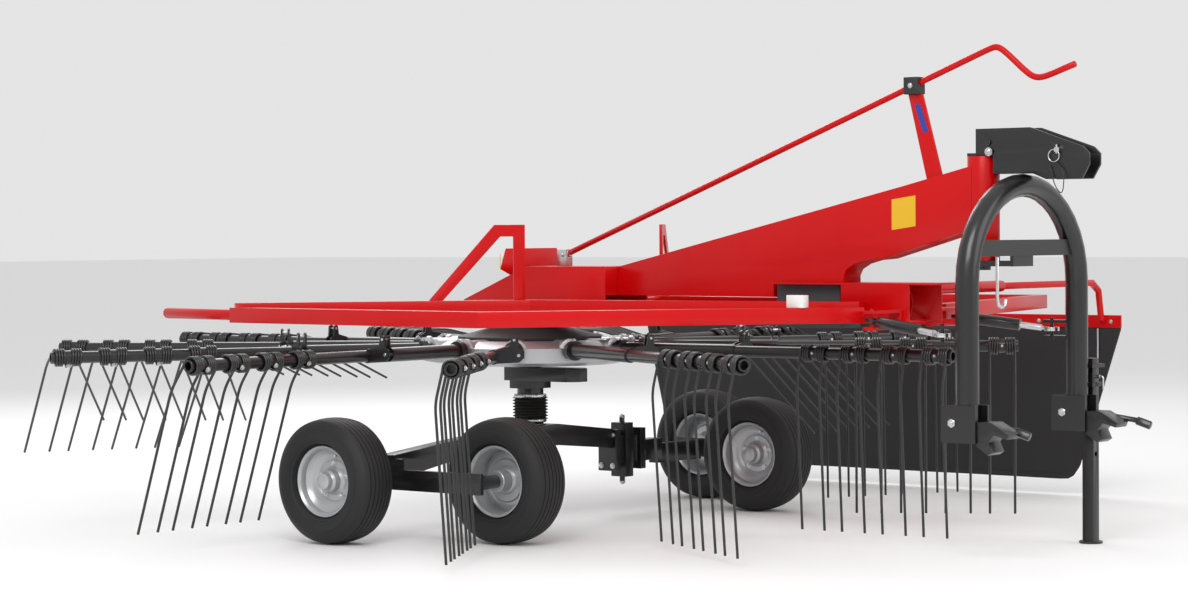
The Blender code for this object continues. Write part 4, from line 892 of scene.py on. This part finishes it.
# ---- Rotor centre, column and headstock fittings ----------------------------------------------
@dataclass
class RotorCentre:
    """Cast sockets that hold the arms, and the column's bellows between two band clamps."""

    arms: TineArms = field(default_factory=TineArms)
    socket: float = 0.034
    bellows: tuple[float, float] = (0.356, 0.432)
    folds: int = 7
    boot_radius: float = 0.0590
    boot_swing: float = 0.0045
    boot_mouth: float = 0.0415

    def sockets(self) -> Surface:
        """Twelve sockets about the arms with a flange and two bolts each."""
        profile = [(0.024, 0.250), (self.socket, 0.250), (self.socket, 0.352),
                   (self.socket + 0.006, 0.356), (self.socket + 0.006, 0.370),
                   (self.socket - 0.002, 0.375), (0.0245, 0.377)]
        ring = Surface().grid(turn_to(revolve(profile, 28), (1, 0, 0)))
        ring.box((0.262, -0.046, -0.007), (0.350, 0.046, 0.007))
        return self.around(ring)

    def socket_bolts(self) -> Surface:
        """A pair of bolts beside each socket, heads downwards."""
        pair = Surface()
        for across in (-0.0395, 0.0395):
            for reach in (0.335, 0.280):
                pair.bolt((reach, across, -0.007), (0, 0, -1), 0.0065)
        return self.around(pair)

    def around(self, shape: Surface) -> Surface:
        """A shape copied to the place of each arm.

        Args:
            shape: the shape, as it lies for an arm along X.

        Returns:
            All the copies as one surface.
        """
        surface = Surface()
        for index in range(self.arms.count):
            surface.add(shape.moved(self.arms.facing(index), (AXIS_X, AXIS_Y, self.arms.height)))
        return surface

    def boot(self) -> Surface:
        """Bellows: radius = middle + swing cos(2 pi folds s) along the height."""
        low, high = self.bellows
        share = np.linspace(0, 1, self.folds * 8 + 1)
        radius = self.boot_radius + self.boot_swing * np.cos(share * self.folds * 2 * math.pi)
        wave = list(zip(radius, low + share * (high - low)))
        rows = [(self.boot_mouth, low)] + wave + [(self.boot_mouth, high)]
        return Surface().grid(revolve(rows, 40)).moved(np.eye(3), (AXIS_X, AXIS_Y, 0))

    def bands(self) -> Surface:
        """Band clamps with their screws above and below the bellows."""
        surface = Surface()
        for height in (self.bellows[0] - 0.006, self.bellows[1] + 0.006):
            ring = [(0.0420, height - 0.006), (0.0570, height - 0.006), (0.0577, height - 0.005),
                    (0.0577, height + 0.005), (0.0570, height + 0.006), (0.0420, height + 0.006)]
            surface.add(Surface().grid(revolve(ring, 40), closed=True))
            surface.rod((0.020, -0.0615, height), (-0.020, -0.0615, height), 0.0055, 14)
            surface.box((0.004, -0.0645, height - 0.005), (0.012, -0.054, height + 0.005))
        return surface.moved(np.eye(3), (AXIS_X, AXIS_Y, 0))

    def build(self) -> list[str]:
        """Make the sockets on the rotor and the boot on the column."""
        self.sockets().piece("arm_sockets", SILVER, "rotor")
        self.socket_bolts().piece("socket_bolts", ZINC, "rotor")
        self.boot().piece("column_bellows", BELLOWS, "chassis", smooth=1.2)
        self.bands().piece("bellows_bands", ZINC, "chassis")
        return []


@dataclass
class Curtain:
    """Coated cloth that hangs from its rail, with a sewn hem round its free edges."""

    plane: float = 1.900
    top: float = 0.643
    rear_edge: tuple[tuple[float, float], ...] = (
        (0.060, -0.800), (0.270, -0.860), (0.470, -0.910), (0.643, -0.950))
    front_edge: tuple[tuple[float, float], ...] = (
        (0.060, 1.060), (0.066, 1.090), (0.080, 1.118), (0.116, 1.144), (0.643, 1.322))
    bottom: float = 0.0605
    flat: tuple[float, float] = (2.272, 0.583)
    thickness: float = 0.0024
    ripple: float = 0.0045
    hem: float = 0.020
    hem_foot: float = 0.060
    rivet_line: tuple[float, float] = (-0.90, 1.28)
    rivet_height: float = 0.667
    rivet_count: int = 15

    def ends(self, height: Array) -> tuple[Array, Array]:
        """Rear and front edge at each height, read along the two edge lines."""
        rear, front = np.array(self.rear_edge), np.array(self.front_edge)
        return np.interp(height, rear[:, 0], rear[:, 1]), np.interp(height, front[:, 0], front[:, 1])

    def sway(self, x: Array, height: Array) -> Array:
        """Out-of-plane fall: two crossing sine waves that grow from nothing at the rail.

        Args:
            x: places along the curtain, from the rotor's axis.
            height: heights above the ground.

        Returns:
            How far the cloth stands off its plane at each place.
        """
        drop = (self.top - height) / (self.top - self.hem_foot)
        waves = np.sin(x * 11.0 + height * 3.0) + 0.5 * np.sin(x * 23.0 - height * 7.0)
        return self.ripple * drop * waves / 1.5

    def cloth(self) -> bpy.types.Object:
        """The sheet on a grid: x runs between the edges at each height, y sways, z falls."""
        height = np.linspace(self.top, self.bottom, 72)
        across = np.linspace(0, 1, 220)
        rear, front = self.ends(height)
        x = rear[:, None] + (front - rear)[:, None] * across[None, :]
        z = np.repeat(height[:, None], len(across), axis=1)
        points = np.stack([x + AXIS_X, self.plane + AXIS_Y + self.sway(x, z), z], axis=-1)
        obj = Surface().sheet(points).piece("curtain_cloth", CLOTH, "curtain", ["curtain"], smooth=1.5)
        shell = obj.modifiers.new("cloth_thickness", "SOLIDIFY")
        shell.thickness, shell.offset = self.thickness, 0.0
        return obj

    def border(self) -> bpy.types.Object:
        """Folded hem that follows the rear, lower and front edge a little inside them."""
        height = np.linspace(self.top - 0.002, 0.062, 60)
        rear, front = self.ends(height)
        inset = self.hem / 2
        bottom = np.linspace(rear[-1] + inset, front[-1] - inset, 200)
        x = np.concatenate([rear + inset, bottom[1:-1], front[::-1] - inset])
        foot = self.hem_foot + inset
        z = np.concatenate([np.maximum(height, foot), np.full(len(bottom) - 2, foot),
                            np.maximum(height[::-1], foot)])
        keep = np.concatenate([[True], np.hypot(np.diff(x), np.diff(z)) > 0.0012])
        x, z = x[keep], z[keep]
        path = np.stack([x + AXIS_X, self.plane + AXIS_Y + self.sway(x, z), z], axis=-1)
        outline = np.array([(-0.0025, -inset), (0.0025, -inset), (0.0032, 0), (0.0025, inset),
                            (-0.0025, inset), (-0.0032, 0)])
        grid = sweep_upright(path, outline, unit(np.gradient(path, axis=0)))
        return Surface().grid(grid).piece("curtain_hem", CLOTH, "curtain", smooth=0.6)

    def rivets(self) -> Surface:
        """Rivets along the rail strip that hold the cloth."""
        surface = Surface()
        for x in np.linspace(*self.rivet_line, self.rivet_count):
            for side in (-1, 1):
                place = (x + AXIS_X, self.plane + AXIS_Y + side * 0.004, self.rivet_height)
                surface.bolt(place, (0, side, 0), 0.0065)
        return surface

    def build(self) -> list[str]:
        cloth, border = self.cloth(), self.border()
        self.rivets().piece("curtain_rivets", ZINC, "curtain")
        return ["curtain"]


@dataclass
class Fittings:
    """Small parts on the frame: crank bar, bolts, pins, blank labels and wire loop."""

    beam_side: float = 0.050
    crank_path: tuple[tuple[float, float], ...] = (
        (0.188, 0.947), (1.373, 1.389), (1.900, 1.586), (1.925, 1.592), (1.950, 1.581), (2.040, 1.502),
        (2.069, 1.489), (2.100, 1.491), (2.205, 1.526))
    crank_radius: float = 0.010
    crank_bend: float = 0.045

    def at(self, x: float, y: float, z: float) -> tuple[float, float, float]:
        """A place given from the rotor's axis, in the frame's axes."""
        return x + AXIS_X, y + AXIS_Y, z

    def label(self, name: str, finish: Finish, outline: Sequence[tuple[float, float]], y: float,
              side: int) -> None:
        """A blank plate, a little proud of its face.

        Args:
            name: the piece's name.
            finish: what it is dressed in.
            outline: its corners as (x, z), from the rotor's axis.
            y: the face that it lies on.
            side: -1 or 1, the way the face looks along Y.
        """
        flat = np.array([self.at(x, y, z) for x, z in outline])
        plate = Surface().prism(flat, (0, -side * 0.0004, 0), (0, side * 0.0007, 0))
        plate.piece(name, finish, "chassis")

    def crank(self) -> None:
        """Working-height crank: a round bar along its path with a rounded end."""
        path = rounded_path([self.at(x, 0.0, z) for x, z in self.crank_path], self.crank_bend, 8)
        ends = unit(path[[0, -1]] - path[[1, -2]]) * 0.002
        path = np.concatenate([path[:1] + ends[:1], path, path[-1:] + ends[1:]])
        size = np.ones(len(path))
        size[[0, -1]] = 0.80
        grid = sweep(path, circle(self.crank_radius, 24), (0.0, 1.0, 0.0), size)
        Surface().grid(grid).piece("crank_bar", RED, "chassis", ["height_crank"], smooth=0.9)

    def labels(self) -> None:
        """Blank yellow plates on both beam sides and the sign plate, a blank blue one on the post."""
        shape = [(1.565, 1.018), (1.655, 1.030), (1.655, 1.128), (1.565, 1.116)]
        self.label("beam_label_right", YELLOW, shape, -self.beam_side, -1)
        self.label("beam_label_left", YELLOW, shape, self.beam_side, 1)
        low, high = corners("sign_plate")
        mid, reach = middle("sign_plate"), (high - low) * 0.30
        plate = Surface().box((mid[0] - reach[0], low[1] - 0.0008, mid[2] - reach[2]),
                              (mid[0] + reach[0], low[1] + 0.0002, mid[2] + reach[2]))
        plate.piece("sign_label", YELLOW, "chassis")
        low, high = corners("crank_post")
        slope = (high[0] - low[0] - 0.030) / (high[2] - low[2])
        plate_corners = ((0.000, 1.330), (0.022, 1.330), (0.022, 1.420), (0.000, 1.420))
        post = [(1.618 + (1.438 - z) * slope + dx, z) for dx, z in plate_corners]
        self.label("post_label", BLUE, post, -0.005, -1)
        low, high = corners("reflector")
        plate = Surface().box((low[0] + 0.002, high[1] - 0.0002, low[2] + 0.002),
                              (high[0] - 0.002, high[1] + 0.0012, high[2] - 0.002))
        plate.piece("reflector_side", GREEN, "chassis")

    def head_bolts(self) -> Surface:
        """Bolts on both faces of each lower catch, and of the top link bracket."""
        surface = Surface()
        for node in ("lower_catch_right", "lower_catch_left"):
            low, high = corners(node)
            for side, face in ((-1, low[1]), (1, high[1])):
                surface.bolt((1.990 + AXIS_X, face, 0.430), (0, side, 0), 0.014)
        for side in (-1, 1):
            surface.bolt(self.at(1.921, side * 0.042, 1.261), (0, side, 0), 0.0110)
        return surface

    def frame_bolts(self) -> Surface:
        """Bolts of the tilt bracket, the dome, the pivot, the front frame and the crank's joint."""
        surface = Surface()
        for x in (0.074, 0.126):
            for z in (0.172, 0.284):
                surface.bolt(self.at(x, 0.310, z), (0, -1, 0), 0.0085)
                surface.bolt(self.at(x, 0.487, z), (0, 1, 0), 0.0085)
        surface.bolt(self.at(0.100, 0.3985, 0.343), (0, 0, 1), 0.0100)
        surface.bolt(self.at(0.100, 0.3985, 0.110), (0, 0, -1), 0.0100)
        for side in (-1, 1):
            for x in (-0.150, 0.020, 0.160, 0.380):
                surface.bolt(self.at(x, side * 0.120, 0.768), (0, side, 0), 0.0095)
            surface.bolt(self.at(0.168, side * 0.018, 0.940), (0, side, 0), 0.0080)
            surface.bolt(self.at(1.620, side * 0.024, 1.480), (0, side, 0), 0.0070)
        return surface

    def stand_pin(self) -> Surface:
        """Pin that locks the parking stand in its bracket, with a bent handle."""
        x, y, _ = middle("parking_stand")
        surface = Surface().rod((x - 0.036, y, 0.541), (x + 0.036, y, 0.541), 0.0055, 16)
        handle = rounded_path([(x + 0.034, y, 0.541), (x + 0.046, y, 0.541), (x + 0.046, y, 0.500)],
                              0.010, 5)
        return surface.grid(sweep(handle, circle(0.0035, 10), (0, 1, 0)))

    def wire_bracket(self) -> None:
        """Bent wire that keeps the cloth's front corner, on the curtain's inner side."""
        corner_places = ((1.180, 0.640), (1.180, 0.474), (1.230, 0.474), (1.230, 0.640))
        points = [self.at(x, 1.886, z) for x, z in corner_places]
        path = rounded_path(points, 0.014, 6)
        wire = Surface().grid(sweep(path, circle(0.0035, 10), (0, 1, 0)))
        wire.piece("curtain_wire_bracket", ZINC, "curtain")

    def top_pin(self) -> None:
        """Top link pin with a ring, and the steel wire loop that ties it to the bracket."""
        pin = Surface().rod(self.at(2.166, -0.050, 1.262), self.at(2.166, 0.050, 1.262), 0.0095, 24)
        pin.rod(self.at(2.166, -0.046, 1.250), self.at(2.166, -0.046, 1.278), 0.0035, 12)
        angle = np.linspace(0, 2 * math.pi, 29)[:-1]
        ring = np.column_stack([0.019 * np.cos(angle), np.zeros(28), 0.019 * np.sin(angle)])
        loop = np.array(self.at(2.156, -0.046, 1.244)) + ring
        tangent = unit(np.roll(loop, -1, 0) - np.roll(loop, 1, 0))
        pin.grid(sweep_upright(loop, circle(0.0017, 8), tangent), closed=True)
        pin.piece("top_link_pin", ZINC, "headstock")
        places = ((2.160, -0.046, 1.226), (2.196, -0.050, 1.190), (2.190, -0.052, 1.120),
                  (2.160, -0.048, 1.150), (2.140, -0.044, 1.214))
        hang = rounded_path([self.at(*place) for place in places], 0.030, 8)
        wire = Surface().grid(sweep(hang, circle(0.0016, 8), (0.05, 1.0, 0.02)))
        wire.piece("pin_wire_loop", BLACK, "headstock")

    def build(self) -> list[str]:
        """Make all fittings; only the crank stands for a frame node."""
        self.crank()
        self.labels()
        self.head_bolts().piece("lower_link_bolts", ZINC, "headstock")
        self.frame_bolts().piece("frame_bolts", ZINC, "chassis")
        self.stand_pin().piece("stand_lock_pin", ZINC, "headstock")
        self.wire_bracket()
        self.top_pin()
        return ["height_crank"]


# ---- Floor, lights and camera ------------------------------------------------------------------
@dataclass
class Studio:
    """Pale floor, broad soft lamps and the camera that looks across the machine's front right."""

    floor: float = 90.0
    camera: tuple[float, float, float] = (6.452, -8.054, 1.0126)
    heading: float = 38.918
    pitch: float = 88.6055
    roll: float = -0.3817
    lens: float = 88.71
    lamps: tuple[tuple[str, tuple[float, float, float], float, float], ...] = (
        ("key_lamp", (3.5, -5.5, 5.5), 300.0, 4.0), ("fill_lamp", (7.5, 1.5, 3.6), 110.0, 4.5),
        ("back_lamp", (-5.0, 4.0, 5.0), 170.0, 4.0))

    def build(self) -> None:
        """Set up the floor, the sky, the lamps and the camera."""
        self.lay_floor()
        self.light_sky()
        for name, place, power, size in self.lamps:
            self.lamp(name, place, power, size)
        self.place_camera()
        bpy.context.scene.view_settings.view_transform = "Standard"

    def lay_floor(self) -> None:
        """A flat pale floor, which is not part of the machine."""
        half = self.floor
        mesh = bpy.data.meshes.new("studio_floor")
        floor_corners = [(-half, -half, 0), (half, -half, 0), (half, half, 0), (-half, half, 0)]
        mesh.from_pydata(floor_corners, [], [(0, 1, 2, 3)])
        obj = bpy.data.objects.new("studio_floor", mesh)
        bpy.context.scene.collection.objects.link(obj)
        material = bpy.data.materials.new("pale_floor")
        material.use_nodes = True
        shader = material.node_tree.nodes["Principled BSDF"]
        shader.inputs["Base Color"].default_value = (0.86, 0.86, 0.86, 1.0)
        shader.inputs["Roughness"].default_value = 0.75
        mesh.materials.append(material)

    def light_sky(self) -> None:
        """An even, nearly white surrounding."""
        world = bpy.data.worlds.new("studio_sky")
        world.use_nodes = True
        world.node_tree.nodes["Background"].inputs["Color"].default_value = (1.0, 1.0, 1.0, 1.0)
        world.node_tree.nodes["Background"].inputs["Strength"].default_value = 0.78
        bpy.context.scene.world = world

    def lamp(self, name: str, place: tuple[float, float, float], power: float, size: float) -> None:
        """A square soft lamp that faces the rotor.

        Args:
            name: the lamp's name.
            place: where it stands.
            power: its power in watts.
            size: length of its side.
        """
        light = bpy.data.lights.new(name, "AREA")
        light.energy, light.size = power, size
        obj = bpy.data.objects.new(name, light)
        bpy.context.scene.collection.objects.link(obj)
        back = unit(np.array(place) - np.array((0.0, 0.0, 0.6)))
        right = unit(np.cross((0.0, 0.0, 1.0), back))
        aim = Matrix((right, np.cross(back, right), back)).transposed()
        obj.matrix_world = Matrix.Translation(place) @ aim.to_4x4()

    def place_camera(self) -> None:
        """The camera, without shift or depth of field."""
        data = bpy.data.cameras.new("studio_camera")
        data.sensor_width, data.lens = 36.0, self.lens
        camera = bpy.data.objects.new("studio_camera", data)
        bpy.context.scene.collection.objects.link(camera)
        matrix = Matrix.Translation(self.camera)
        for angle, axis in ((self.heading, "Z"), (self.pitch, "X"), (self.roll, "Z")):
            matrix = matrix @ Matrix.Rotation(math.radians(angle), 4, axis)
        camera.matrix_world = matrix
        bpy.context.scene.camera = camera


def main() -> None:
    """Build every sub-assembly in order, dress the rest of the frame and set up the studio."""
    logging.basicConfig(level=logging.INFO, format="%(name)s: %(message)s")
    replaced: set[str] = set()
    for assembly in (TineArms(), Wheels(), RotorCentre(), Curtain(), Fittings()):
        replaced.update(assembly.build())
    Bodywork().dress(replaced)
    Studio().build()


if __name__ == "__main__":
    main()
